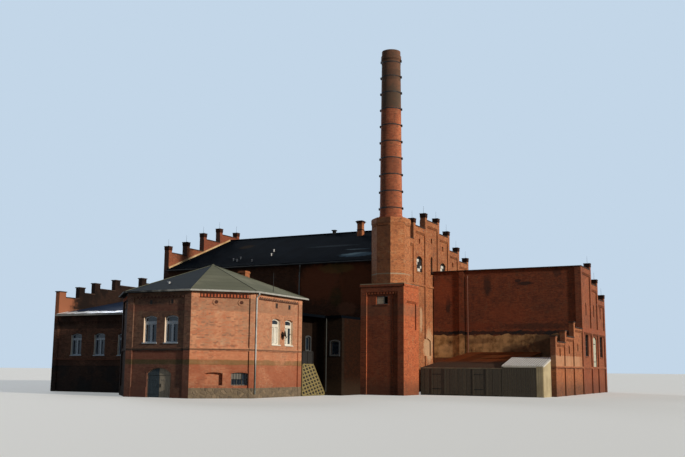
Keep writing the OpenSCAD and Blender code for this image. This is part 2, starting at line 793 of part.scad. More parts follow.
module side_shed_walls() color(plaster) site() translate([shed_end, shed_y, 0]) difference() {
    cube([side_shed_w, side_shed_l, side_shed_eave + side_shed_rise]);
    translate([shed_t, shed_t, -eps]) cube([side_shed_w - 2 * shed_t, side_shed_l - 2 * shed_t, high]);
    translate([-eps, 0, -seat]) rotate([90, 0, 90]) linear_extrude(side_shed_w + 2 * eps)
        lean_to(side_shed_l, side_shed_eave, side_shed_rise, high);
}

module side_shed_roof() color("#d8dade") site() translate([shed_end, shed_y, 0]) rotate([90, 0, 90])
    linear_extrude(side_shed_w) lean_to(side_shed_l, side_shed_eave, side_shed_rise, shed_roof_t);

// Plan corners of the pavilion, counted from the front face's left end, moved inwards by d
mitre = tan(22.5);
function pav_corner(i, d) = [
    [pav_x + d * mitre, pav_y + d], [pav_x1 - d * mitre, pav_y + d],
    [pav_right - d, pav_y + pav_cut + d * mitre], [pav_right - d, pav_back - d],
    [pav_left + d, pav_back - d], [pav_left + d, pav_y + pav_cut + d * mitre]
][i % 6];

// Piers at a wall's slanted corners, mitred with the next wall's, and at the right wall's far end;
// a mortar joint parts the two halves of a corner's pier
module pav_piers(i) intersection() {
    linear_extrude(pav_eave) offset(delta = -seat / 2)
        polygon([pav_corner(i, -pav_pier_proud), pav_corner(i + 1, -pav_pier_proud),
                 pav_corner(i + 1, pav_t / 2), pav_corner(i, pav_t / 2)]);
    pav_face(i) {
        if (i < 3 || i == 5) translate([-low_t, -low_t, -eps]) cube([low_t + pav_pier_w, 2 * low_t, high]);
        if (i != 3) translate([pav_side(i) - (i == 1 ? pav_pier_w / 2 : pav_pier_w), -low_t, -eps])
            cube([pav_pier_w * (i == 1 ? 0.5 : 1) + (i == 2 ? 0 : low_t), 2 * low_t, high]);
    }
}

// One wall of the pavilion between two plan corners, with its string course, cornice and piers
module pav_wall(i) {
    pav_piers(i);
    linear_extrude(pav_eave)
        polygon([pav_corner(i, 0), pav_corner(i + 1, 0), pav_corner(i + 1, pav_t), pav_corner(i, pav_t)]);
    for (band = [[0, plinth_h], [string_z - string_h, string_z], [pav_eave - cornice_h, pav_eave]])
        translate([0, 0, band[0]]) linear_extrude(band[1] - band[0])
            polygon([pav_corner(i, -string_proud), pav_corner(i + 1, -string_proud),
                     pav_corner(i + 1, 0), pav_corner(i, 0)]);
}

module pav_face(i) {
    a = pav_corner(i, 0);
    b = pav_corner(i + 1, 0);
    on_wall(a, atan2(b[1] - a[1], b[0] - a[0])) children();
}

function pav_side(i) = norm(pav_corner(i + 1, 0) - pav_corner(i, 0));

module pav_windows(xs) for (x = xs) arched(x, pav_sill, pav_win_w, pav_win_h, win_rise);

// One of the two basement openings of the right corner; the first is bricked up
module base_opening(k)
    arched(base_win_x + k * base_win_gap, base_win_z, base_win_w, base_win_h, win_rise / 2);

front_xs = [door_x - pav_win_gap / 2, door_x + pav_win_gap / 2];
side_xs = [side_win_x, side_win_x + side_win_gap];

// Pushes openings through a wall of the pavilion with all its bands
module pierce(i) pav_face(i) through(-string_proud - eps, pav_t + eps) children();

module pavilion_front_part(x0, x1, z0, z1) intersection() {
    difference() {
        pav_wall(0);
        pierce(0) arched(door_x, -eps, door_w, door_h + eps, door_rise);
        pierce(0) pav_windows(front_xs);
    }
    pav_face(0) translate([x0, -pav_pier_proud - eps, z0])
        cube([x1 - x0, pav_pier_proud + pav_t + 2 * eps, z1 - z0]);
}

spring_z = door_h - door_rise;

module pavilion_front_left() color(brick_dark) site()
    pavilion_front_part(-pav_t, door_x - door_w / 2, 0, spring_z);
module pavilion_front_right() color(brick_dark) site()
    pavilion_front_part(door_x + door_w / 2, pav_front + pav_t, 0, spring_z);
module pavilion_front_upper() color(brick_dark) site()
    pavilion_front_part(-pav_t, pav_front + pav_t, spring_z, pav_eave + eps);

module pavilion_right_corner() color(brick) site() difference() {
    pav_wall(1);
    pierce(1) base_opening(1);
    pav_face(1) through(-string_proud - eps, blocked_d) base_opening(0);
}

module pavilion_left_corner() color(brick_dark) site() pav_wall(5);

module pavilion_right_wall() color(brick) site() difference() {
    pav_wall(2);
    pierce(2) pav_windows(side_xs);
}

// The bands stop where the range and the link stand against the pavilion
module pavilion_left_wall() color(brick_dark) site() difference() {
    pav_wall(4);
    translate([pav_left - low_t, range_y, -eps]) cube([low_t, -range_y, high]);
}

module pavilion_back_wall() color(brick) site() difference() {
    pav_wall(3);
    translate([pav_left - low_t, pav_back, -eps]) cube([pav_w + 2 * low_t, low_t, high]);
}

module pavilion_floor() color(timber) site() translate([0, 0, floor_z - floor_t]) linear_extrude(floor_t)
    polygon([for (i = [0:5]) pav_corner(i, pav_t + seat)]);

module pav_roof_solid(d, z, peak) polyhedron(
    points = concat([for (i = [0:5]) concat(pav_corner(i, d), [z])],
                    [[(pav_left + pav_right) / 2, pav_y + pav_peak, peak]]),
    faces = concat([for (i = [0:5]) [6, (i + 1) % 6, i]], [[0, 1, 2, 3, 4, 5]]));

module pavilion_roof() color(felt_green) site() difference() {
    union() {
        translate([0, 0, pav_eave]) pav_prism(pav_over, pav_roof_t);
        pav_roof_solid(-pav_over, pav_eave + pav_roof_t, pav_eave + pav_rise);
    }
    pav_roof_solid(pav_t, pav_eave - eps, pav_eave + pav_rise - 3 * pav_roof_t);
}

// The flue stands on the roof's back slope, right of its point
module pavilion_flue() color(brick) site() difference() {
    translate([(pav_left + pav_right) / 2 + pav_flue_x, pav_y + pav_peak + pav_flue_y, pav_eave + pav_roof_t]) {
        cube([pav_flue_w, pav_flue_w, pav_flue_top - pav_eave - pav_roof_t]);
        translate([-coping_lip, -coping_lip, pav_flue_top - pav_eave - pav_roof_t - 2 * coping_t])
            cube([pav_flue_w + 2 * coping_lip, pav_flue_w + 2 * coping_lip, coping_t]);
    }
    pav_roof_solid(-pav_over, pav_eave + pav_roof_t, pav_eave + pav_rise);
}

module pavilion_glass() color(pane) site() {
    pav_face(0) glazed(pav_t) pav_windows(front_xs);
    pav_face(2) glazed(pav_t) pav_windows(side_xs);
    pav_face(1) glazed(pav_t) base_opening(1);
}

leaf_w = door_w / 2 - post_w - leaf_gap * 1.5;
pivot_x = door_w / 2 - post_w - leaf_gap;
pivot_out = 22;
eye_r = 18;
strap_zs = [230, leaf_h - 260];

// Moves a shape drawn for the left half of the doorway to its place, or mirrors it to the right
module door_side(s) pav_face(0) translate([door_x, leaf_in, 0]) mirror([s > 0 ? 1 : 0, 0, 0]) children();

module door_frame() color(timber) site() {
    pav_face(0) translate([door_x, leaf_in, 0]) {
        through(0, leaf_t) difference() {
            arched(0, 0, door_w, door_h, door_rise);
            translate([-door_w / 2 + post_w, -eps]) square([door_w - 2 * post_w, leaf_h + leaf_gap + eps]);
        }
    }
    for (s = [-1, 1]) door_side(s) for (z = strap_zs) {
        translate([-pivot_x, -pivot_out, z - 40]) cylinder(r = pin_r, h = 80);
        translate([-pivot_x, -pivot_out, z - 40]) cylinder(r = eye_r - 3, h = 8);
        translate([-pivot_x - 40, -pivot_out - 8, z - 40]) cube([40, 16, 8]);
        translate([-pivot_x - 40, -pivot_out - 8, z - 40]) cube([28, pivot_out + 8, 8]);
    }
}

module leaf(s) door_side(s) {
    translate([-pivot_x, 0, leaf_gap]) cube([leaf_w, leaf_t, leaf_h - leaf_gap]);
    for (z = strap_zs) difference() {
        union() {
            translate([-pivot_x, -pivot_out, z - 31.7]) cylinder(r = eye_r, h = 63);
            translate([-pivot_x, -pivot_out - 4, z - 25]) cube([leaf_w * 0.75, 8, 50]);
            translate([-pivot_x + eye_r, -pivot_out - 4, z - 25])
                cube([leaf_w * 0.75 - eye_r, pivot_out + 4, 50]);
        }
        translate([-pivot_x, -pivot_out, z - 60]) cylinder(r = pin_r + pin_clear, h = 120);
    }
}

module door_leaf_left() color(timber) site() leaf(-1);
module door_leaf_right() color(timber) site() leaf(1);

module range_windows() for (k = [1:3])
    arched(k * range_win_gap, range_win_z, range_win_w, range_win_h, win_rise);

module range_front_wall() color(brick_dark) site() on_wall([range_x, range_y], 0) difference() {
    union() {
        through(0, low_t) translate([low_t, 0]) square([range_l - low_t, range_eave - seat]);
        through(-string_proud, 0) translate([low_t, range_string - string_h])
            square([range_l - low_t, string_h]);
        through(-string_proud, 0) translate([low_t, range_eave - range_slope * range_over - frieze_h])
            square([range_l - low_t, frieze_h - seat]);
    }
    through(-string_proud - eps, low_t + eps) range_windows();
}

module range_glass() color(pane) site() {
    on_wall([range_x, range_y], 0) glazed(low_t) range_windows();
    on_wall([link_x, link_y], 0) glazed(low_t) link_window();
    on_wall([link_x, pav_back], 90) glazed(low_t) side_light();
}

// Centre of a parapet pier behind the range's front, and the top of the bay behind it
function parapet_pier_y(k) = k == 0 ? parapet_pier / 2
    : parapet_pier_y(k - 1) + [parapet_bay_1, parapet_bay_2, parapet_bay_3, parapet_bay_4][k - 1];
function parapet_bay_top(k) = parapet_top + k * parapet_step;
function parapet_pier_l(k) = parapet_pier + (k == 0 ? range_proud : 0);

module range_left_wall() color(brick_dark) site() on_wall([range_x, 0], -90) for (k = [0:4]) {
    y0 = parapet_pier_y(k);
    y1 = k < 4 ? parapet_pier_y(k + 1) : -range_y;
    through(0, low_t) translate([-range_y - y1, 0]) square([y1 - y0, parapet_bay_top(k)]);
    through(0, low_t) translate([-range_y - y0 - parapet_pier / 2, 0])
        square([parapet_pier_l(k), parapet_bay_top(k) + parapet_rise]);
}

module range_copings() color(cap_stone) site() on_wall([range_x, 0], -90) for (k = [0:4]) {
    y0 = parapet_pier_y(k) + parapet_pier / 2;
    y1 = k < 4 ? parapet_pier_y(k + 1) - parapet_pier / 2 : -range_y;
    translate([-range_y - y0 - coping_lip, -coping_lip, parapet_bay_top(k) + parapet_rise])
        cube([parapet_pier_l(k) + 2 * coping_lip, low_t + 2 * coping_lip, coping_t]);
    translate([-range_y - y1, -coping_lip, parapet_bay_top(k)])
        cube([y1 - y0, low_t + 2 * coping_lip, coping_t]);
}

module range_cross_wall() color(brick) site() translate([pav_left - low_t, 0, 0]) rotate([90, 0, 90])
    linear_extrude(low_t) difference() {
        translate([range_y + low_t, 0]) square([-range_y - low_t, range_eave + range_rise]);
        range_slope_section(high);
    }

// Section of the lean-to roof from its overhanging eave up to the hall, reaching up by t
module range_slope_section(t) translate([range_y - range_over, -seat])
    lean_to(range_over - range_y, range_eave - range_slope * range_over,
            range_rise + range_slope * range_over, t);

module range_roof() color(felt) site() difference() {
    translate([range_x + low_t, 0, seat]) rotate([90, 0, 90])
        linear_extrude(range_l - low_t) range_slope_section(range_roof_t);
    translate([pav_left - pav_over - gutter_w - coping_lip, range_y - range_over - eps, 0])
        cube([pav_w, pav_back + pav_over + gutter_w + coping_lip - range_y + range_over, high]);
}

module link_window() arched(link_win_x, link_win_z, link_win_w, link_win_h, win_rise / 2);
module side_light() arched(side_light_x, landing_z + link_win_z / 3, link_win_w, link_win_h, win_rise / 2);
module link_doorway() flat(link_door_x, landing_z, link_door_w, link_door_h);

module link_side_wall() color(brick_dark) site() on_wall([link_x, pav_back], 90) difference() {
    through(0, low_t) square([link_y - pav_back, link_top - seat]);
    through(-eps, low_t + eps) link_doorway();
    through(-eps, low_t + eps) side_light();
}

module link_front_wall() color(brick_dark) site() on_wall([link_x, link_y], 0) difference() {
    through(0, low_t) translate([-low_t, 0]) square([tower_x - link_x + low_t, link_top - seat]);
    through(-eps, low_t + eps) link_window();
}

module link_end_wall() color(brick_dark) site() difference() {
    translate([tower_x - low_t, link_y + low_t, 0]) cube([low_t, -link_y - low_t, link_top - seat]);
    stack_space();
}

module link_roof() color(felt) site() difference() {
    union() {
        translate([pav_left, pav_back, link_top]) cube([pav_w + link_over, -pav_back, link_roof_t]);
        translate([pav_right, link_y - link_over, link_top])
            cube([tower_x - pav_right, link_over - link_y, link_roof_t]);
    }
    stack_space();
}

module link_door() color(timber) site() on_wall([link_x, pav_back], 90)
    through(low_t / 2, low_t / 2 + leaf_t) link_doorway();

// The outside stair stands in the recess and comes down towards the hall
flight_l = link_y - pav_back - landing_l - stair_end;
going = flight_l / (riser_n - 1);
stair_w = link_back + stair_proud - cheek_t;
riser = landing_z / riser_n;
cheek_y = string_proud + seat;

// Moves a section along the stair, drawn with the pavilion's back at 0, to a slice of its width
module along_stair(x, w) translate([link_x + x, pav_back, 0]) rotate([90, 0, 90]) linear_extrude(w) children();

module stair_treads() color(timber) site() {
    along_stair(0, stair_w) translate([0, landing_z - tread_t]) square([landing_l, tread_t]);
    along_stair(beam_t, stair_w - 2 * beam_t) for (i = [1:riser_n - 1])
        translate([landing_l + (i - 1) * going, landing_z - i * riser - tread_t])
            square([going + (i < riser_n - 1 ? tread_t / 3 : 0), tread_t]);
}

module stair_beams() color(timber) site() for (x = [0, stair_w - beam_t]) along_stair(x, beam_t)
    polygon([[landing_l, landing_z - riser - going], [landing_l, landing_z], [landing_l + flight_l, riser],
             [landing_l + flight_l, 0], [landing_l + flight_l - going, 0]]);

// The pierced cheek: a plain slab cut to the landing and the slope, with two rows of square holes
module stair_lattice() color(plaster) site() along_stair(stair_w, cheek_t) difference() {
    polygon([[cheek_y, 0], [landing_l + flight_l, 0], [landing_l + flight_l, riser],
             [landing_l, landing_z], [cheek_y, landing_z]]);
    for (k = [1:landing_z / hole_gap - 3]) translate([landing_l / 3, landing_z - k * hole_gap]) diamond();
    for (k = [1:landing_z / hole_gap - 2]) translate([
        landing_l - 6 * hole_w + k * hole_gap * going / riser, landing_z - hole_w - k * hole_gap]) diamond();
}

module diamond() rotate(45) square(hole_w, center = true);

// A boarded balustrade along the landing, standing on the cheek
module stair_rail() color(timber) site() along_stair(stair_w + cheek_t / 4, cheek_t / 2)
    translate([cheek_y, landing_z]) square([landing_l - cheek_y, rail_h]);

// A half-open box gutter on the pavilion's eave and a straight one on the range's
module gutters() color(steel) site() {
    translate([0, 0, pav_eave + 2 * gutter_t]) difference() {
        pav_prism(pav_over + gutter_w, gutter_w - 4 * gutter_t);
        translate([0, 0, -eps]) pav_prism(pav_over + seat, gutter_w);
        translate([0, 0, gutter_t]) difference() {
            pav_prism(pav_over + gutter_w - gutter_t, gutter_w);
            translate([0, 0, -eps]) pav_prism(pav_over + gutter_t, 2 * gutter_w);
        }
    }
    translate([range_x + low_t, range_y - range_over, range_eave - range_slope * range_over])
        rotate([90, 0, 90]) linear_extrude(range_l - low_t - pav_over - gutter_w - coping_lip) difference() {
            translate([-gutter_w - seat, 0]) square([gutter_w, gutter_w]);
            translate([gutter_t - gutter_w - seat, gutter_t]) square([gutter_w - 2 * gutter_t, gutter_w]);
        }
}

module pav_prism(d, h) linear_extrude(h) polygon([for (i = [0:5]) pav_corner(i, -d)]);

pipe_out = pipe_d / 2 + pipe_gap;

// A downpipe on a wall at x, held by clips, its neck reaching out to a gutter at depth out under z
module pipe(x, z, out) translate([x, 0, 0]) {
    neck = out - pipe_out;
    turn = z - neck - pipe_d;
    translate([0, -pipe_out, pipe_z]) cylinder(d = pipe_d, h = turn - pipe_z);
    if (neck > pipe_d) {
        translate([0, -pipe_out + pipe_d / 4, turn - pipe_d / 4]) rotate([45, 0, 0])
            cylinder(d = pipe_d, h = (neck + pipe_d / 2) * sqrt(2));
        translate([0, -out, turn + neck - pipe_d / 4])
            cylinder(d = pipe_d, h = z - turn - neck + pipe_d / 4 - seat);
    } else
        translate([0, -pipe_out, turn - eps]) cylinder(d = pipe_d, h = z - turn - seat + eps);
    for (k = [0:2]) translate([-pipe_d / 4, -pipe_out, pipe_z + pipe_d + k * (turn - pipe_z - 3 * pipe_d) / 2])
        cube([pipe_d / 2, pipe_out - seat, pipe_d / 4]);
}

module downpipes() color(steel) site() {
    pav_face(2) translate([0, -pav_pier_proud, 0])
        pipe(pipe_d, pav_eave + 2 * gutter_t, pav_over + gutter_w / 2 - pav_pier_proud);
    on_wall([wing_pipe_x, wing_y], 0) translate([0, panel_y, 0]) pipe(0, wing_top - frieze_h, pipe_out);
    on_wall([pav_right, link_y], 0) pipe(2 * pipe_d, link_top, pipe_out);
}

stack_base();
stack_shaft();
stack_bands();
tower_walls();
tower_roof();
hall_front_wall();
hall_back_wall();
hall_right_gable();
hall_left_gable();
hall_roof_front();
hall_roof_back();
gable_copings();
hall_glass();
roof_vent();
wing_front_wall();
wing_back_wall();
wing_gable();
wing_roof();
wing_copings();
wing_glass();
yard_gable();
yard_copings();
long_shed_front();
long_shed_roof();
side_shed_walls();
side_shed_roof();
pavilion_front_left();
pavilion_front_right();
pavilion_front_upper();
pavilion_right_corner();
pavilion_left_corner();
pavilion_right_wall();
pavilion_left_wall();
pavilion_back_wall();
pavilion_floor();
pavilion_roof();
pavilion_flue();
pavilion_glass();
door_frame();
door_leaf_left();
door_leaf_right();
range_front_wall();
range_left_wall();
range_cross_wall();
range_roof();
range_copings();
range_glass();
link_side_wall();
link_front_wall();
link_end_wall();
link_roof();
link_door();
stair_treads();
stair_beams();
stair_lattice();
stair_rail();
gutters();
downpipes();
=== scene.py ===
"""Looks of a brick factory: stepped gables, a banded chimney, a blank wing and an eight-sided pavilion.

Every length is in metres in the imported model's frame, with z up and the ground at 0. Places on the
walls are given from the hall's front right corner, as a surveyor would tape them.
"""
from __future__ import annotations

import json
import logging
import math
from dataclasses import dataclass, field, replace
from enum import Enum
from typing import Sequence

import bmesh
import bpy
from mathutils import Matrix, Vector

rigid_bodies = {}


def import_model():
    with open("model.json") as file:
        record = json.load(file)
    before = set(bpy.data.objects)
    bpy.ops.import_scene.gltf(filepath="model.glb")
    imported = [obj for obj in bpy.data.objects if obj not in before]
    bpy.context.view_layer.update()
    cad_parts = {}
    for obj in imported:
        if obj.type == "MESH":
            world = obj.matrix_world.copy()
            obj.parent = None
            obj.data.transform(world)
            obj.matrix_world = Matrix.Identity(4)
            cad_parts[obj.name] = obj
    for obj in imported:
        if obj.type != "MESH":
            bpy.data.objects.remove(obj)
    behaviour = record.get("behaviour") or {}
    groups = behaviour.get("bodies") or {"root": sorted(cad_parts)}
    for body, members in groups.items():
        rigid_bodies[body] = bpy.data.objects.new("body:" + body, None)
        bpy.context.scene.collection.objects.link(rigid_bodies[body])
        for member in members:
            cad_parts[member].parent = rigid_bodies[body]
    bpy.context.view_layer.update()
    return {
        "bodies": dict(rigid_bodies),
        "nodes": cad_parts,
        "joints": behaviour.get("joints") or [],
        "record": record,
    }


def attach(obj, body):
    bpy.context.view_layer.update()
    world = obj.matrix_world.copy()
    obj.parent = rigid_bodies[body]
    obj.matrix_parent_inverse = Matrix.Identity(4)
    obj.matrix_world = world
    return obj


log = logging.getLogger("factory")

SITE = Vector((-0.67, 0.95, 0.0))
UP = Vector((0, 0, 1))
COURSE = 0.077
BRICK_L = 0.26
JOINT = 0.010
FIELDSTONE = 0.28
SHAFT_RADIUS = 0.8
# Facing of the walls that the key light only grazes; the brickwork's painted shade darkens faces turned this way.
SHADED_SIDE = (0.2, -1.0, 0.0)

Socket = bpy.types.NodeSocket
Tree = bpy.types.NodeTree
Pair = tuple[float, float]
Triple = tuple[float, float, float]
Nodes = dict[str, bpy.types.Object]


class Body(Enum):
    """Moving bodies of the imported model."""

    BUILDING = "building"
    LEFT_LEAF = "left_leaf"
    RIGHT_LEAF = "right_leaf"


class Slot(Enum):
    """Material slots of the record, which each piece's call names beside its finish."""

    BRICK = "brick"
    CHIMNEY = "chimney_brick"
    FELT = "felt"
    GREEN_FELT = "green_felt"
    COPING = "coping"
    GLASS = "glass"
    TIMBER = "timber"
    PALE_WOOD = "pale_wood"
    STEEL = "steel"
    PLASTER = "plaster"


class Run(Enum):
    """How a pattern of courses runs over a surface."""

    FLAT = "flat"
    ROUND = "round"


def linear(code: str) -> tuple[float, float, float, float]:
    """Turns an sRGB hex colour into linear red, green, blue and alpha.

    Args:
        code: Colour as "#rrggbb".

    Returns:
        The linear colour with alpha 1.
    """
    parts = [int(code[i : i + 2], 16) / 255 for i in (1, 3, 5)]
    r, g, b = (c / 12.92 if c <= 0.04045 else ((c + 0.055) / 1.055) ** 2.4 for c in parts)
    return (r, g, b, 1.0)


def put(tree: Tree, kind: str, links: dict | None = None, **settings: object) -> bpy.types.Node:
    """Adds one node to a tree.

    Args:
        tree: Node tree that gets the node.
        kind: Blender's name of the node, without the leading "ShaderNode".
        links: Input name or number to a socket or field to link, or to a value to set.
        **settings: Properties of the node.

    Returns:
        The new node.
    """
    node = tree.nodes.new("ShaderNode" + kind)
    for name, value in settings.items():
        setattr(node, name, value)
    for name, source in (links or {}).items():
        source = getattr(source, "socket", source)
        if isinstance(source, Socket):
            tree.links.new(source, node.inputs[name])
        else:
            node.inputs[name].default_value = source
    return node


class Field:
    """A number that varies over a surface, with the sums that a finish makes of it."""

    def __init__(self, tree: Tree, socket: Socket) -> None:
        """Holds one output of a node."""
        self.tree, self.socket = tree, socket

    def step(self, operation: str, other: Field | float = 0.0) -> Field:
        """The result of one maths step on this number and another."""
        return Field(self.tree, put(self.tree, "Math", {0: self, 1: other}, operation=operation).outputs[0])

    def __mul__(self, other: Field | float) -> Field:
        """This number times another."""
        return self.step("MULTIPLY", other)

    def __add__(self, other: Field | float) -> Field:
        """This number plus another."""
        return self.step("ADD", other)

    def __sub__(self, other: Field | float) -> Field:
        """This number less another."""
        return self.step("SUBTRACT", other)

    def rise(self, low: float, high: float) -> Field:
        """Rises smoothly from 0 at low to 1 at high."""
        links = {"Value": self, "From Min": low, "From Max": high}
        return Field(self.tree, put(self.tree, "MapRange", links, interpolation_type="SMOOTHSTEP").outputs[0])


class Coat:
    """The layers of a finish while they are laid: where they lie, and their colour so far.

    The place runs along the courses and up, in metres, whichever way a wall faces. On a level
    surface it is the plan, and on the round shaft it goes round the part's own axis.
    """

    def __init__(self, tree: Tree, base: str, run: Run = Run.FLAT) -> None:
        """Starts with an even colour and finds the place along the courses."""
        self.tree, self.tone = tree, linear(base)
        self.space = put(tree, "TexCoord").outputs["Object"]
        self.normal = put(tree, "NewGeometry").outputs["True Normal"]
        x, y, self.high = self.parts(self.space)
        if run is Run.ROUND:
            along = y.step("ARCTAN2", x) * SHAFT_RADIUS
        else:
            side = put(tree, "VectorMath", {0: UP, 1: self.normal}, operation="CROSS_PRODUCT").outputs[0]
            side = put(tree, "VectorMath", {0: side}, operation="NORMALIZE").outputs[0]
            along = put(tree, "VectorMath", {0: self.space, 1: side}, operation="DOT_PRODUCT").outputs["Value"]
        self.place = put(tree, "CombineXYZ", {0: along, 1: self.high}).outputs[0]
        if run is Run.FLAT:
            plan = put(tree, "CombineXYZ", {0: x, 1: y}).outputs[0]
            level = self.parts(self.normal)[2].step("ABSOLUTE").step("GREATER_THAN", 0.97)
            links = {0: level, 4: self.place, 5: plan}
            self.place = put(tree, "Mix", links, data_type="VECTOR").outputs[1]

    def parts(self, vector: Socket) -> list[Field]:
        """The three numbers of a vector."""
        return [Field(self.tree, part) for part in put(self.tree, "SeparateXYZ", {0: vector}).outputs]

    def cloud(self, size_mm: float, detail: float = 4.0, where: Socket | None = None) -> Field:
        """Noise whose blotches are about size_mm across."""
        place = self.space if where is None else where
        links = {"Vector": place, "Scale": 1000.0 / size_mm, "Detail": detail, "Roughness": 0.6}
        return Field(self.tree, put(self.tree, "TexNoise", links).outputs[0])

    def drawn(self, where: Socket, scale: Triple) -> Socket:
        """A place for noise that is drawn out along the axes with a scale under 1."""
        return put(self.tree, "Mapping", {"Vector": where, "Scale": scale}).outputs[0]

    def strips(self, across: Field, width: float) -> tuple[Field, Field, Field]:
        """Divides a surface into strips of one width, such as boards or rolls of felt.

        Args:
            across: Distance across the strips.
            width: Width of one strip.

        Returns:
            Each strip's number, its own chance number, and how near its edges a point is, up to 0.5.
        """
        count = across.step("DIVIDE", width)
        number = count.step("FLOOR")
        odd = put(self.tree, "TexWhiteNoise", {"W": number}, noise_dimensions="1D").outputs["Value"]
        return number, Field(self.tree, odd), (count.step("FRACT") - 0.5).step("ABSOLUTE")

    def lay(self, colour: str | Socket, share: Field, strength: float = 1.0) -> None:
        """Lays a colour over the coat.

        Args:
            colour: The colour, in hex or as a socket.
            share: How much of it lies on each point, from 0 to 1.
            strength: Factor on that share.
        """
        over = linear(colour) if isinstance(colour, str) else colour
        links = {0: share if strength == 1.0 else share * strength, 6: self.tone, 7: over}
        self.tone = put(self.tree, "Mix", links, data_type="RGBA").outputs[2]

    def patch(self, tone_and_light_patches: Sequence[ToneOrLightPatch]) -> None:
        """Lays ragged patches, each in its own colour."""
        for blot in tone_and_light_patches:
            self.lay(blot.colour, blot.share(self))

    def close(self, rough: Field, height: Field, depth_mm: float, **lone: object) -> None:
        """Ends the finish in one shader.

        Args:
            rough: Roughness.
            height: Relief from 0 to 1.
            depth_mm: Real depth of that relief.
            **lone: Numbers that are the same all over, by the shader's socket name with _ for a space.
        """
        bump = put(self.tree, "Bump", {"Strength": 1.0, "Distance": depth_mm / 1000, "Height": height})
        links: dict = {"Base Color": self.tone, "Roughness": rough, "Normal": bump.outputs[0]}
        links.update({key.replace("_", " "): value for key, value in lone.items()})
        shader = put(self.tree, "BsdfPrincipled", links)
        put(self.tree, "OutputMaterial", {"Surface": shader.outputs[0]})


@dataclass(frozen=True)
class Finish:
    """A finish that builds its material once."""

    name: str

    def material(self) -> bpy.types.Material:
        """The finish as a Blender material, made on first use."""
        made = bpy.data.materials.get(self.name)
        if made is None:
            made = bpy.data.materials.new(self.name)
            made.use_nodes = True
            made.node_tree.nodes.clear()
            self.paint(made.node_tree)
        return made

    def paint(self, tree: Tree) -> None:
        """Lays the finish's nodes into the tree."""
        raise NotImplementedError


@dataclass(frozen=True)
class StainOrShade:
    """A level band on a wall between two heights, a stain in some finishes and painted shade in others, patchy unless
    it is even, with a ragged edge.
    """

    low: float
    high: float
    colour: str
    strength: float
    even: float = 0.0
    ragged: float = 0.03


@dataclass(frozen=True)
class ToneOrLightPatch:
    """A ragged patch of another colour about a place in the building's own tape frame, size across it; some are marks
    on the thing itself, some are painted light or shade.
    """

    centre: Triple
    size: Triple
    colour: str
    strength: float = 0.8

    def share(self, coat: Coat) -> Field:
        """How much of the patch lies on each point, from 0 to its strength."""
        scale = [2 / s for s in self.size]
        shift = [-k * c for k, c in zip(scale, SITE + Vector(self.centre))]
        unit = put(coat.tree, "Mapping", {"Vector": coat.space, "Location": shift, "Scale": scale}).outputs[0]
        reach = put(coat.tree, "VectorMath", {0: unit}, operation="LENGTH").outputs["Value"]
        return (Field(coat.tree, reach) + coat.cloud(350) * 0.9).rise(1.6, 1.1) * self.strength


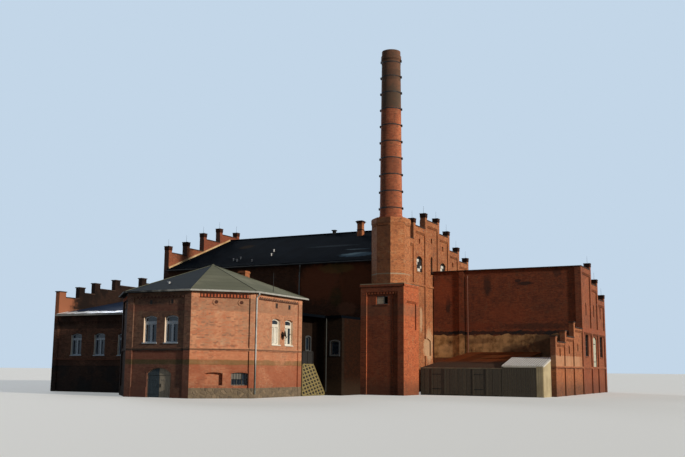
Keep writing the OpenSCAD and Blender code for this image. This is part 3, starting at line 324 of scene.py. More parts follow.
@dataclass(frozen=True)
class Brickwork(Finish):
    """Fired clay bricks, hand moulded and laid in lime mortar: matt, uneven in tone from brick to brick.

    Courses of 77 mm with bricks and joints of 260 mm give the eye fine level lines. Soot and damp
    darken them in clouds metres across, and lime bleeds out in pale blotches.
    """

    pale: str
    deep: str
    burnt: str
    mortar: str
    dirt: str = "#3a2a22"
    dirt_share: float = 0.35
    lime_share: float = 0.12
    run: Run = Run.FLAT
    damp_top: float = 1.2
    stains_and_shade: tuple[StainOrShade, ...] = ()
    tone_and_light_patches: tuple[ToneOrLightPatch, ...] = ()
    plinth_top: float = 0.0
    glazed: tuple[ToneOrLightPatch, ...] = ()
    painted_side_shade: float = 0.0
    mottle: float = 0.45
    sheen: float = 0.4

    def paint(self, tree: Tree) -> None:
        """Lays bond, tone, dirt, lime, damp, the level bands of stain and painted shade, the patches and the grazed
        side's painted shade.
        """
        coat = Coat(tree, self.deep, self.run)
        links = {
            "Vector": coat.place, "Color1": linear("#000000"), "Color2": linear("#ffffff"),
            "Mortar": (0.5, 0.5, 0.5, 1), "Scale": 1.0, "Mortar Size": JOINT / 2, "Mortar Smooth": 0.25,
            "Bias": 0.0, "Brick Width": BRICK_L, "Row Height": COURSE,
        }
        bond = put(tree, "TexBrick", links, offset=0.5, offset_frequency=2, squash=0.5, squash_frequency=2)
        tint, joint = (Field(tree, bond.outputs[name]) for name in ("Color", "Fac"))
        patch, grain, spot = coat.cloud(1900), coat.cloud(60, 3.0), coat.cloud(420, 6.0)
        coat.lay(self.pale, tint)
        coat.lay(self.burnt, tint.rise(0.86, 0.97), 0.75)
        coat.lay(self.pale, patch.rise(0.5, 0.75), 0.35)
        coat.lay(self.deep, grain.rise(0.35, 0.75), 0.3)
        coat.lay(self.burnt, spot.rise(0.52, 0.7), self.mottle)
        coat.lay(self.mortar, spot.rise(0.46, 0.32), self.mottle * 0.7)
        for blot in self.glazed:
            coat.lay(blot.colour, blot.share(coat) * tint.rise(0.4, 0.5))
        coat.lay(self.mortar, joint)
        coat.lay("#cdbfae", coat.cloud(700, 5.0).rise(0.62, 0.8), self.lime_share)
        coat.lay(self.dirt, coat.cloud(2600, 6.0).rise(0.42, 0.7), self.dirt_share)
        streak = coat.cloud(420, 3.0, coat.drawn(coat.place, (1.0, 0.12, 1.0)))
        coat.lay(self.dirt, streak.rise(0.55, 0.75), self.dirt_share * 0.6)
        coat.lay("#3f3328", (coat.high - grain * 0.6).rise(self.damp_top, 0.0), 0.55)
        # Each level band is a stain or, where a finish gives it as such, painted shade.
        for stain in self.stains_and_shade:
            level = coat.high + (spot - 0.5) * (stain.ragged * 6)
            above = level.rise(stain.low - 0.04, stain.low + 0.02)
            inside = above * level.rise(stain.high + 0.04, stain.high - 0.02)
            coat.lay(stain.colour, inside * patch.rise(0.2, 0.6).step("MAXIMUM", stain.even), stain.strength)
        coat.patch(self.tone_and_light_patches)
        # Painted shade: faces turned to the side that the key light only grazes are darkened, and on the round shaft
        # its grazed half.
        if self.painted_side_shade > 0:
            links = {0: coat.normal, 1: SHADED_SIDE}
            turned = Field(tree, put(tree, "VectorMath", links, operation="DOT_PRODUCT").outputs["Value"])
            ends = (0.3, 0.9) if self.run is Run.ROUND else (0.9, 0.99)
            coat.lay("#1c100b", turned.rise(*ends), self.painted_side_shade)
        height = joint * -0.7 + grain * 0.35
        if self.plinth_top > 0:
            height = self.rubble(coat, height)
        coat.close(grain * 0.2 + 0.74, height, 9.0, Specular_IOR_Level=self.sheen)

    def rubble(self, coat: Coat, height: Field) -> Field:
        """Lays split fieldstones of about 280 mm in wide lime joints below the plinth's top.

        Args:
            coat: The layers so far.
            height: Relief of the brickwork above.

        Returns:
            The relief with the stones in it.
        """
        tree, wall = coat.tree, coat.tone
        links = {"Vector": coat.place, "Scale": 1 / FIELDSTONE, "Randomness": 0.9}
        edge = Field(tree, put(tree, "TexVoronoi", links, feature="DISTANCE_TO_EDGE").outputs["Distance"])
        shade = put(tree, "TexVoronoi", links, feature="F1").outputs["Color"]
        grain, face = coat.cloud(90, 5.0, coat.place), edge.rise(0.04, 0.14)
        coat.tone = linear("#62574a")
        coat.lay("#917f68", Field(tree, put(tree, "SeparateColor", {0: shade}).outputs[0]))
        coat.lay("#7b6d58", face * -1.0 + 1.0)
        coat.lay("#4f463b", grain.rise(0.45, 0.7), 0.4)
        below = coat.high.rise(self.plinth_top + 0.01, self.plinth_top - 0.01)
        stone, coat.tone = coat.tone, wall
        coat.lay(stone, below)
        return height * (below * -1.0 + 1.0) + (face * 2.2 + grain * 0.8) * below


@dataclass(frozen=True)
class RoofFelt(Finish):
    """Bitumen felt, rolled out in metre-wide sheets and torched down: matt, with seams up the slope.

    The seams give long straight shadows 1 m apart, and old rain leaves grey clouds between them.
    """

    dark: str
    light: str
    stain: str
    seam_pitch: float = 1.0
    gloss: float = 0.85
    wear: float = 0.5
    sheen: float = 0.06
    seam_share: float = 0.55
    level_rows: bool = False
    painted_slope_shade: str = ""
    eave: str = ""
    eave_top: float = 0.0
    tone_and_light_patches: tuple[ToneOrLightPatch, ...] = ()

    def paint(self, tree: Tree) -> None:
        """Lays sheets, seams, rain marks and grit, then painted shade on the slopes not turned to the key light, and
        a grey band towards the eave.
        """
        coat = Coat(tree, self.dark)
        _, odd, edge = coat.strips(coat.parts(coat.place)[int(self.level_rows)], self.seam_pitch)
        seam, grit = edge.rise(0.455, 0.485), coat.cloud(45, 3.0)
        coat.lay(self.light, odd, 0.7)
        coat.lay(self.stain, coat.cloud(2400, 6.0).rise(0.45, 0.72), self.wear)
        coat.lay(self.dark, grit.rise(0.4, 0.8), 0.35)
        coat.lay("#15181b", seam, self.seam_share)
        coat.patch(self.tone_and_light_patches)
        # Painted shade: facets not turned towards the right, where the key light stands, take a cold dark tone.
        if self.painted_slope_shade:
            coat.lay(self.painted_slope_shade, coat.parts(coat.normal)[0].rise(0.1, 0.02), 0.9)
        if self.eave:
            coat.lay(self.eave, coat.high.rise(self.eave_top, self.eave_top - 0.25), 0.8)
        coat.close(grit * 0.2 + self.gloss, seam * 0.7 + grit * 0.3, 12.0, Specular_IOR_Level=self.sheen)


@dataclass(frozen=True)
class WaveSheet(Finish):
    """Corrugated fibre-cement sheet, pressed and painted white: even 177 mm waves down the slope."""

    clean: str
    dirty: str
    pitch_mm: float = 177.0

    def paint(self, tree: Tree) -> None:
        """Lays the waves and the dirt in their valleys."""
        coat = Coat(tree, self.clean)
        wave = (coat.parts(coat.place)[0] * (math.tau * 1000 / self.pitch_mm)).step("SINE")
        hill, spots = wave * 0.5 + 0.5, coat.cloud(500, 5.0).rise(0.45, 0.75)
        coat.lay(self.dirty, hill.rise(0.5, 0.0), 0.5)
        coat.lay(self.dirty, spots, 0.5)
        coat.close(spots * 0.25 + 0.55, hill, 50.0)


@dataclass(frozen=True)
class LimePlaster(Finish):
    """Lime plaster, floated on by hand and weathered: chalky and matt, worn off in patches."""

    pale: str
    worn: str
    bare: str
    bare_share: float = 0.5
    patch_mm: float = 1300.0
    tone_and_light_patches: tuple[ToneOrLightPatch, ...] = ()

    def paint(self, tree: Tree) -> None:
        """Lays the float marks, the worn patches and the rain runs."""
        coat = Coat(tree, self.pale)
        marks, wide = coat.cloud(130, 5.0), coat.cloud(self.patch_mm, 6.0)
        bare = wide.rise(0.6, 0.72)
        coat.lay(self.worn, wide.rise(0.35, 0.65))
        coat.lay(self.bare, bare, self.bare_share)
        runs = coat.cloud(300, 3.0, coat.drawn(coat.place, (1.0, 0.1, 1.0)))
        coat.lay("#544a3e", runs.rise(0.5, 0.8), 0.35)
        coat.patch(self.tone_and_light_patches)
        coat.close(marks * 0.15 + 0.8, marks + bare * -0.6, 6.0)


@dataclass(frozen=True)
class Boards(Finish):
    """Sawn softwood boards, nailed edge to edge and left out of doors: silvered grain, dark gaps."""

    pale: str
    deep: str
    width: float = 0.14
    upright: bool = True
    paint_left: float = 0.0
    paint_colour: str = ""

    def paint(self, tree: Tree) -> None:
        """Lays the boards, the grain along them and what is left of the paint."""
        coat = Coat(tree, self.deep)
        across, up = coat.parts(coat.place)[:2][:: 1 if self.upright else -1]
        number, odd, edge = coat.strips(across, self.width)
        along = put(tree, "CombineXYZ", {0: across * 16.0, 1: up + odd * 7.0, 2: number}).outputs[0]
        links = {"Vector": along, "Scale": 5.0, "Detail": 6.0, "Roughness": 0.65}
        grain = Field(tree, put(tree, "TexNoise", links).outputs[0])
        gap = edge.rise(0.455, 0.49)
        coat.lay(self.pale, grain.rise(0.3, 0.7))
        coat.lay(self.deep, odd, 0.4)
        if self.paint_left > 0:
            worn = coat.cloud(160, 5.0).rise(0.3 + 0.4 * (1 - self.paint_left), 0.25)
            coat.lay(self.paint_colour, worn * -1.0 + 1.0, 0.95)
        coat.lay("#1d1a17", gap, 0.85)
        coat.close(grain * 0.25 + 0.62, grain * 0.3 - gap, 6.0)


@dataclass(frozen=True)
class OilPaint(Finish):
    """Linseed-oil paint brushed on planed wood: half matt, with brush lines and worn spots to the wood."""

    colour: str
    wood: str = "#8f8370"
    wear: float = 0.3

    def paint(self, tree: Tree) -> None:
        """Lays the brush lines and the worn spots."""
        coat = Coat(tree, self.colour)
        spots = coat.cloud(90, 6.0).rise(0.6, 0.72) * self.wear
        coat.lay(self.wood, spots)
        coat.lay("#7c776b", coat.cloud(700, 3.0).rise(0.4, 0.8), 0.25)
        brush = coat.cloud(60, 4.0, coat.drawn(coat.space, (6.0, 6.0, 1.0)))
        coat.close(spots * 0.3 + 0.42, brush, 1.0)


@dataclass(frozen=True)
class SteelSkin(Finish):
    """Rolled steel or zinc sheet, left outside: soft metal sheen where it is sound, matt where it corrodes."""

    sound: str
    corroded: str
    share: float = 0.4
    metal: float = 0.3
    gloss: float = 0.45
    tone_and_light_patches: tuple[ToneOrLightPatch, ...] = ()

    def paint(self, tree: Tree) -> None:
        """Lays sound metal, corrosion blooms and run marks."""
        coat = Coat(tree, self.sound)
        bloom = coat.cloud(140, 6.0)
        bad = bloom.rise(0.45, 0.65) * self.share
        coat.lay(self.corroded, bad)
        coat.lay("#4b4a48", coat.cloud(900, 3.0).rise(0.4, 0.7), 0.3)
        coat.patch(self.tone_and_light_patches)
        coat.close(bad * 0.4 + self.gloss, bloom, 1.2, Metallic=self.metal)


@dataclass(frozen=True)
class CapBrick(Finish):
    """Brick on edge under cement, set on a wall's top: sooty, mossy and matt, dark from standing rain."""

    dark: str
    pale: str
    moss: str = "#4c4a35"

    def paint(self, tree: Tree) -> None:
        """Lays cement, soot and moss."""
        coat = Coat(tree, self.dark)
        skin = coat.cloud(70, 5.0)
        coat.lay(self.pale, coat.cloud(600, 5.0).rise(0.35, 0.7))
        coat.lay(self.moss, skin.rise(0.5, 0.7), 0.4)
        coat.close(skin * 0.15 + 0.82, skin, 8.0)


@dataclass(frozen=True)
class OldGlass(Finish):
    """Drawn window glass in front of an unlit room: glossy and slightly wavy, dusty at the edges; it lets no light
    through, and its dark colour is painted shade of that room.
    """

    room: str
    dust: str
    dust_share: float = 0.3

    def paint(self, tree: Tree) -> None:
        """Lays the room's painted shade, the dust film and the waves that drawing leaves every 200 mm."""
        coat = Coat(tree, self.room)
        film = coat.cloud(260, 5.0).rise(0.4, 0.8)
        coat.lay(self.dust, film, self.dust_share)
        coat.close(film * 0.25 + 0.06, coat.cloud(200, 2.0), 0.5, IOR=1.52)


MAIN_BRICK = Brickwork(
    "hall_brick", "#cb7c4c", "#97502d", "#552e1f", "#c29d74", dirt_share=0.24, lime_share=0.15, painted_side_shade=0.5,
    mottle=0.6,
    tone_and_light_patches=(ToneOrLightPatch((0.0, 8.8, 3.9), (1.5, 2.0, 3.2), "#dcc4a0", 0.5),
           ToneOrLightPatch((0.0, 7.1, 6.1), (1.5, 0.6, 2.4), "#d9c2a0", 0.5)),
)
SOOT_GABLE = Brickwork(
    "left_gable_brick", "#b0623f", "#80402a", "#4a2a1e", "#967657", painted_side_shade=0.85,
    stains_and_shade=(StainOrShade(13.0, 16.0, "#7d3a2a", 0.5),),
)
WING_GABLE_BRICK = Brickwork(
    "wing_gable_brick", "#b5633f", "#87442b", "#542e20", "#a9825e", dirt_share=0.28, lime_share=0.12, painted_side_shade=0.4,
    stains_and_shade=(StainOrShade(0.0, 2.0, "#8d4a31", 0.4), StainOrShade(4.98, 5.4, "#a4583a", 0.5)),
)
YARD_BRICK = Brickwork(
    "yard_brick", "#c97a4c", "#98502e", "#5b3325", "#b4936f", dirt_share=0.25, painted_side_shade=0.5, mottle=0.55,
    stains_and_shade=(StainOrShade(2.2, 2.95, "#d1a27e", 0.75), StainOrShade(2.02, 2.08, "#4a211a", 0.8)),
)
# Painted shade: the hall's brick made darker for its front wall, which stands in shade.
HALL_SHADE = Brickwork(
    "hall_front_brick_painted_shade", "#6a4632", "#4b2f20", "#2c1d16", "#594638", dirt_share=0.45, lime_share=0.06, sheen=0.15,
    tone_and_light_patches=(
        ToneOrLightPatch((-6.2, 0.0, 8.8), (4.4, 1.0, 3.4), "#99573a", 0.65),
        ToneOrLightPatch((-2.9, 0.0, 8.6), (3.6, 1.0, 4.2), "#82492d", 0.6),
        ToneOrLightPatch((-4.6, 0.0, 9.9), (3.4, 1.0, 0.9), "#8a7a45", 0.35),
        ToneOrLightPatch((-4.6, 0.0, 7.6), (1.2, 1.0, 1.8), "#4d4a24", 0.4),
        ToneOrLightPatch((-3.6, 0.0, 6.6), (1.8, 1.0, 1.2), "#94634a", 0.6),
    ),
)
# Partly painted shade: the wing's front brick is darker than its gable's, for the wall that the key light only
# grazes.
WING_BRICK = Brickwork(
    "wing_brick", "#96502f", "#6d331c", "#3d1f14", "#75543c", dirt_share=0.3, lime_share=0.05, mottle=0.6,
    stains_and_shade=(StainOrShade(0.0, 4.86, "#6b4a2e", 0.8), StainOrShade(4.84, 5.12, "#150d09", 1.0, 0.8, 0.1),
            StainOrShade(11.2, 11.6, "#2a1710", 0.6)),
    tone_and_light_patches=(
        ToneOrLightPatch((1.35, 9.7, 7.4), (0.5, 1.0, 1.9), "#24150f", 0.75),
        ToneOrLightPatch((4.9, 9.7, 9.0), (0.75, 1.0, 2.0), "#24150f", 0.7),
        ToneOrLightPatch((8.2, 9.7, 9.1), (1.5, 1.0, 0.35), "#1f120d", 0.85),
        ToneOrLightPatch((7.6, 9.7, 9.35), (0.6, 1.0, 0.35), "#1f120d", 0.8),
        ToneOrLightPatch((10.9, 9.7, 9.9), (0.8, 1.0, 0.8), "#2a1710", 0.6),
        ToneOrLightPatch((0.9, 9.7, 8.6), (2.2, 1.0, 2.6), "#a1512f", 0.35),
        ToneOrLightPatch((3.0, 9.7, 5.6), (5.0, 1.0, 0.7), "#7d3a20", 0.4),
        ToneOrLightPatch((9.2, 9.7, 5.5), (6.0, 1.0, 0.6), "#1d110c", 0.55),
        ToneOrLightPatch((6.8, 9.7, 6.6), (3.5, 1.0, 1.8), "#8f4627", 0.35),
    ),
)
OLD_PLASTER = LimePlaster(
    "old_wall_plaster", "#cda673", "#8f6e45", "#432a1a", bare_share=0.9, patch_mm=520.0,
    tone_and_light_patches=(
        # The two dark patches on the right are painted shadow falling across the plaster.
        ToneOrLightPatch((10.4, 9.7, 4.0), (4.6, 2.0, 2.6), "#3c2717", 0.8),
        ToneOrLightPatch((7.3, 9.7, 3.5), (2.6, 2.0, 1.1), "#4c321e", 0.7),
        ToneOrLightPatch((4.1, 9.7, 4.3), (2.6, 2.0, 0.5), "#6a4a2f", 0.5),
        ToneOrLightPatch((1.0, 9.7, 3.6), (1.6, 2.0, 0.9), "#dcb98a", 0.4),
    ),
)
TOWER_BRICK = Brickwork(
    "tower_brick", "#dc784b", "#b2532d", "#713425", "#b88a62", dirt_share=0.18, lime_share=0.06, painted_side_shade=0.62,
    stains_and_shade=(StainOrShade(5.7, 6.5, "#8d6b52", 0.45),),
)
BASE_BRICK = Brickwork(
    "chimney_base_brick", "#d68b59", "#ac6139", "#693a27", "#c4a078", dirt_share=0.2, lime_share=0.1,
    painted_side_shade=0.62, mottle=0.62,
    stains_and_shade=(StainOrShade(9.0, 9.07, "#b9ab93", 0.9, 0.5, 0.01),),
)
SHAFT_BRICK = Brickwork(
    "chimney_shaft_brick", "#de835a", "#b45b3a", "#643b2b", "#bc956f", dirt_share=0.22, run=Run.ROUND, painted_side_shade=0.42,
    stains_and_shade=(StainOrShade(22.3, 40.0, "#5a4f40", 0.92, 0.8), StainOrShade(16.9, 18.2, "#7d4a35", 0.5),
            StainOrShade(24.6, 25.4, "#3d382e", 0.7, 0.4)),
)
PAVILION_BRICK = Brickwork(
    "pavilion_brick", "#e8a981", "#c87a56", "#875743", "#d8bd9c", dirt_share=0.12, lime_share=0.3, mottle=0.5,
    stains_and_shade=(
        StainOrShade(0.62, 2.05, "#9a5136", 0.75), StainOrShade(2.03, 2.32, "#7c6238", 0.8, 0.3),
        # The thin dark band at 2.9 to 2.97 m is a painted shadow line at the string course.
        StainOrShade(2.9, 2.97, "#4a3526", 0.95, 0.9, 0.005),
        StainOrShade(5.3, 6.1, "#977760", 0.6), StainOrShade(2.32, 2.86, "#cf7f58", 0.5),
    ),
    glazed=(
        ToneOrLightPatch((-3.6, -19.0, 4.4), (1.1, 1.1, 2.9), "#8c6a57", 0.36),
        ToneOrLightPatch((-2.73, -18.13, 4.2), (0.7, 0.7, 2.7), "#8c6a57", 0.32),
        ToneOrLightPatch((-2.0, -17.4, 4.4), (0.7, 0.7, 2.9), "#94705a", 0.3),
    ),
    tone_and_light_patches=(ToneOrLightPatch((-1.54, -14.0, 4.2), (1.2, 9.0, 4.6), "#a0745a", 0.35),),
    plinth_top=0.62,
)
# Painted shade: the pavilion's brick made darker for the front and back walls and their trim, which the key light
# only grazes; the thin dark band at 2.86 to 2.97 m is a painted shadow line at the string course.
PAVILION_SHADE = Brickwork(
    "pavilion_front_brick_painted_shade", "#96705a", "#69463a", "#3d2a24", "#86735d", lime_share=0.15, mottle=0.55,
    stains_and_shade=(
        StainOrShade(0.0, 2.0, "#733f31", 0.55), StainOrShade(2.03, 2.32, "#47401f", 0.85, 0.3),
        StainOrShade(2.86, 2.97, "#241a13", 0.95, 0.9, 0.005),
        StainOrShade(2.32, 2.84, "#8a4834", 0.55), StainOrShade(5.3, 5.7, "#7a4335", 0.4),
    ),
)
# Painted shade: near-black brick for the pavilion's left walls, which face away from the key light.
PAVILION_DEEP_SHADE = Brickwork(
    "pavilion_left_brick_painted_shade", "#47332b", "#2d201b", "#1b1411", "#3b3028", dirt_share=0.4, lime_share=0.08, sheen=0.15,
)
RED_TEETH = Brickwork("red_cornice_brick", "#d9744a", "#bb5532", "#8a402a", "#b58a66", dirt_share=0.12)
# Painted light and shade: the bands below the string at 2.34 m are painted shade of shrubs on the wall's foot, the
# band from 6.2 m up painted shade of trees on the parapet, and the patch on the first bay painted light where the sun
# falls.
RANGE_BRICK = Brickwork(
    "range_brick", "#8a604d", "#5d3c2e", "#33241d", "#735d4a", mottle=0.55, sheen=0.2,
    stains_and_shade=(
        StainOrShade(0.0, 1.9, "#12100f", 0.94, 0.8), StainOrShade(1.9, 2.34, "#2f1f19", 0.7), StainOrShade(4.6, 5.62, "#1e1713", 0.75),
        StainOrShade(2.34, 2.4, "#8b5a47", 0.6, 0.8, 0.005), StainOrShade(6.2, 12.0, "#150d09", 0.97, 0.9),
    ),
    tone_and_light_patches=(ToneOrLightPatch((-21.47, -13.3, 6.9), (3.0, 3.0, 3.4), "#a4694d", 0.95),),
)
# Painted shade: near-black brick for the link, which stands in deep shade.
LINK_BRICK = Brickwork("link_brick_painted_shade", "#2c2017", "#1c140f", "#15100c", "#271f17", dirt_share=0.4,
                       lime_share=0.03, sheen=0.08)
# Near-black for the link's end wall, partly for the ivy that covers it and partly painted shade, since the key light
# falls on it.
LINK_END_BRICK = Brickwork(
    "link_end_brick_painted_shade", "#33190c", "#1f0f07", "#150a06", "#2b1b10", dirt="#1b120b", dirt_share=0.4,
    lime_share=0.03, sheen=0.08,
)
DARK_BRICK = Brickwork("dark_cornice_brick", "#6a3a2a", "#4d281c", "#33201a", "#57402f", dirt_share=0.3)
SOOTY_CAPS = Brickwork(
    "sooty_cap_brick", "#582c1c", "#351a10", "#1f100b", "#402b1c", dirt="#20120b", dirt_share=0.6, painted_side_shade=0.7,
    sheen=0.15,
)
HALL_FELT = RoofFelt(
    "hall_felt", "#070b10", "#0d131a", "#141b23", sheen=0.01,
    tone_and_light_patches=(
        # The two pale blue-grey patches near the right end are a painted sheen of the sky on the felt.
        ToneOrLightPatch((-3.4, 1.4, 11.1), (3.4, 1.6, 1.4), "#5f7b8c", 0.7),
        ToneOrLightPatch((-4.2, 3.2, 11.9), (2.8, 0.5, 0.6), "#55656f", 0.6),
        ToneOrLightPatch((-7.5, 4.8, 12.5), (5.0, 0.7, 0.8), "#333c44", 0.55),
        ToneOrLightPatch((-17.5, 6.5, 13.1), (1.6, 1.6, 1.2), "#2f2519", 0.7),
    ),
)
# Dark felt with sky blue laid into it: the blue is a painted reflection of the sky.
RANGE_FELT = RoofFelt("range_felt", "#222e44", "#2b3850", "#36455c", gloss=0.8)
GREEN_FELT = RoofFelt(
    "pavilion_felt", "#6b6f60", "#7f8271", "#969785", wear=0.4, seam_pitch=0.3, seam_share=0.3, painted_slope_shade="#1d2733",
    level_rows=True,
)
RUST_FELT = RoofFelt("shed_felt", "#57290f", "#793d1d", "#7a5636", eave="#453c34", eave_top=2.6)
WHITE_SHEET = WaveSheet("white_wave_sheet", "#e3e4e2", "#a29f95")
SHED_PLASTER = LimePlaster("shed_plaster", "#cbbe9a", "#b0a281", "#83755c", bare_share=0.4)
# Painted shade: the sheds' plaster made dark for the long shed's front, which stands in shade.
LONG_PLASTER = LimePlaster("long_shed_plaster_painted_shade", "#5a5346", "#453f35", "#2f2a24")
CHEEK_PAINT = LimePlaster("cheek_limewash", "#6b6040", "#534a32", "#352d1f", bare_share=0.6)
LIME_MORTAR = LimePlaster("lime_mortar", "#dcc197", "#c09c6e", "#9a7a56", bare_share=0.3)
REVEAL_LIME = LimePlaster("reveal_limewash", "#efdcc8", "#dfc1a3", "#a9805f", bare_share=0.2)
CONCRETE = LimePlaster("roof_edge_cement", "#978d76", "#796f5b", "#5a5242", bare_share=0.4)
DOOR_BLUE = Boards("door_boards_blue_grey", "#5d6a70", "#38444a", width=0.13, paint_left=0.6, paint_colour="#2f3d44")
DOOR_PALE = Boards("door_boards_pale", "#cbc2b0", "#978c79", width=0.13)
HATCH_BOARDS = Boards("hatch_boards", "#dfe0cf", "#bcbda9", width=0.15)
OLD_BOARDS = Boards("weathered_boards", "#6f6758", "#4a4338")
SHED_BOARDS = Boards("shed_boards", "#665d4c", "#38332a", width=0.33)
DARK_BOARDS = Boards("dark_boards", "#231e19", "#15120f", width=0.12)
FLOOR_BOARDS = Boards("floor_boards", "#8b7a60", "#6a5b46", width=0.16, upright=False)
WHITE_PAINT = OilPaint("white_oil_paint", "#e9e7dc", wear=0.15)
PALE_PAINT = OilPaint("pale_blue_oil_paint", "#b4c3d1", "#7c7468", wear=0.2)
# Painted shade: the link's pale grey frames made dim for the shade they stand in.
DIM_PAINT = OilPaint("dim_blue_oil_paint", "#464c51", "#35312c", wear=0.4)
LATH_PAINT = OilPaint("pale_lath_paint", "#938659", "#584e34", wear=0.8)
GREY_PAINT = OilPaint("grey_oil_paint", "#6c6c66", "#544c40", wear=0.5)
DARK_PAINT = OilPaint("dark_oil_paint", "#2b2723", "#4a4239", wear=0.4)
ZINC = SteelSkin(
    "zinc_sheet", "#c4c7c4", "#9a968a", share=0.35, gloss=0.5,
    tone_and_light_patches=(
        ToneOrLightPatch((3.15, 9.7, 5.0), (3.0, 2.0, 16.0), "#6b3c2a", 1.0),
        ToneOrLightPatch((-1.9, -17.0, 0.9), (3.0, 3.0, 2.6), "#4a5148", 0.8),
        ToneOrLightPatch((-1.35, -7.7, 3.0), (1.6, 1.6, 12.0), "#2c2d29", 1.0),
    ),
)
# Its two near-black patches are painted shade on the gutters of the pavilion's front and left side.
GUTTER_ZINC = SteelSkin(
    "gutter_zinc", "#b9bdb9", "#85837a", metal=0.0, gloss=0.8,
    tone_and_light_patches=(ToneOrLightPatch((-9.8, -19.0, 6.5), (10.2, 3.6, 3.0), "#141413", 1.0),
           ToneOrLightPatch((-12.4, -14.0, 6.5), (2.4, 9.0, 3.0), "#141413", 1.0)),
)
# Near white, partly painted light: it lifts the roof stubs that lie in the chimney's shadow.
PIPE_ZINC = SteelSkin("pipe_zinc", "#f2f4f5", "#d4d3cc", share=0.3, metal=0.0, gloss=0.7)
BRIGHT_ZINC = SteelSkin("bright_zinc_sheet", "#dfe2e4", "#b9b8b2", share=0.25, metal=0.25)
RUST_STEEL = SteelSkin("sooty_band_steel", "#231f1d", "#3f2820", share=0.6, gloss=0.65)
DARK_IRON = SteelSkin("dark_iron", "#1c1b1a", "#32251e", share=0.5, gloss=0.7)
CAPPING = CapBrick("wall_capping", "#2b1f19", "#4a3327")
GLASS = OldGlass("window_glass", "#1b2a39", "#56646f")
DARK_GLASS = OldGlass("factory_glass", "#101315", "#3a3c3a")
CLOTH = OilPaint("curtain_cloth", "#e4e2d8", "#c9c4b4", wear=0.15)


@dataclass(frozen=True)
class Face:
    """Outer face of a wall: u runs along it to the right, d goes into it and z is up."""

    x: float
    y: float
    turn: float

    def at(self, u: float, d: float, z: float) -> Vector:
        """The place in the model's frame of a point taped on the wall."""
        c, s = math.cos(math.radians(self.turn)), math.sin(math.radians(self.turn))
        return SITE + Vector((self.x + u * c - d * s, self.y + u * s + d * c, z))

    @property
    def out(self) -> Vector:
        """The direction that the wall looks in."""
        return self.at(0.0, -1.0, 0.0) - self.at(0.0, 0.0, 0.0)


# The tape itself, for points given along the hall's front, back from it and up.
TAPE = Face(0.0, 0.0, 0)


def about(middle: float, half: float) -> Pair:
    """The two ends of a span about its middle."""
    return middle - half, middle + half


def corners(u: Pair, z: Pair) -> list[Pair]:
    """The corners of an upright rectangle on a wall, lower left first."""
    return [(u[0], z[0]), (u[1], z[0]), (u[1], z[1]), (u[0], z[1])]


def circle(centre: Vector, side: Vector, other: Vector, radius: float, count: int) -> list[Vector]:
    """Points round a centre, in the plane of two directions."""
    turns = [math.tau * k / count for k in range(count)]
    return [centre + radius * (math.cos(t) * side + math.sin(t) * other) for t in turns]


@dataclass(frozen=True)
class Opening:
    """A window or door opening with a segmental head, u to its centre."""

    u: float
    sill: float
    width: float
    height: float
    rise: float = 0.12

    @property
    def radius(self) -> float:
        """Radius of the head's arc."""
        return (self.width**2 / 4 + self.rise**2) / (2 * self.rise)

    @property
    def centre_z(self) -> float:
        """Height of the arc's centre."""
        return self.sill + self.height - self.radius

    @property
    def springing(self) -> float:
        """Height at which the head's arc starts."""
        return self.sill + self.height - self.rise

    def head(self, u: float, inset: float = 0.0) -> float:
        """Height of the head over the place u, for an outline moved inwards."""
        r = self.radius - inset
        return self.centre_z + math.sqrt(max(r * r - (u - self.u) ** 2, 0.0))

    def outline(self, inset: float, steps: int = 8) -> list[Pair]:
        """Points round the opening, moved inwards, from the lower left corner to the right.

        Args:
            inset: How far the points lie inside the opening's edge.
            steps: Number of straight pieces of the arc.

        Returns:
            Pairs of u and z.
        """
        half = self.width / 2 - inset
        low = [(self.u - half, self.sill + inset), (self.u + half, self.sill + inset)]
        arc = [(self.u + half - 2 * half * i / steps, self.head(self.u + half - 2 * half * i / steps, inset))
               for i in range(steps + 1)]
        return low + arc


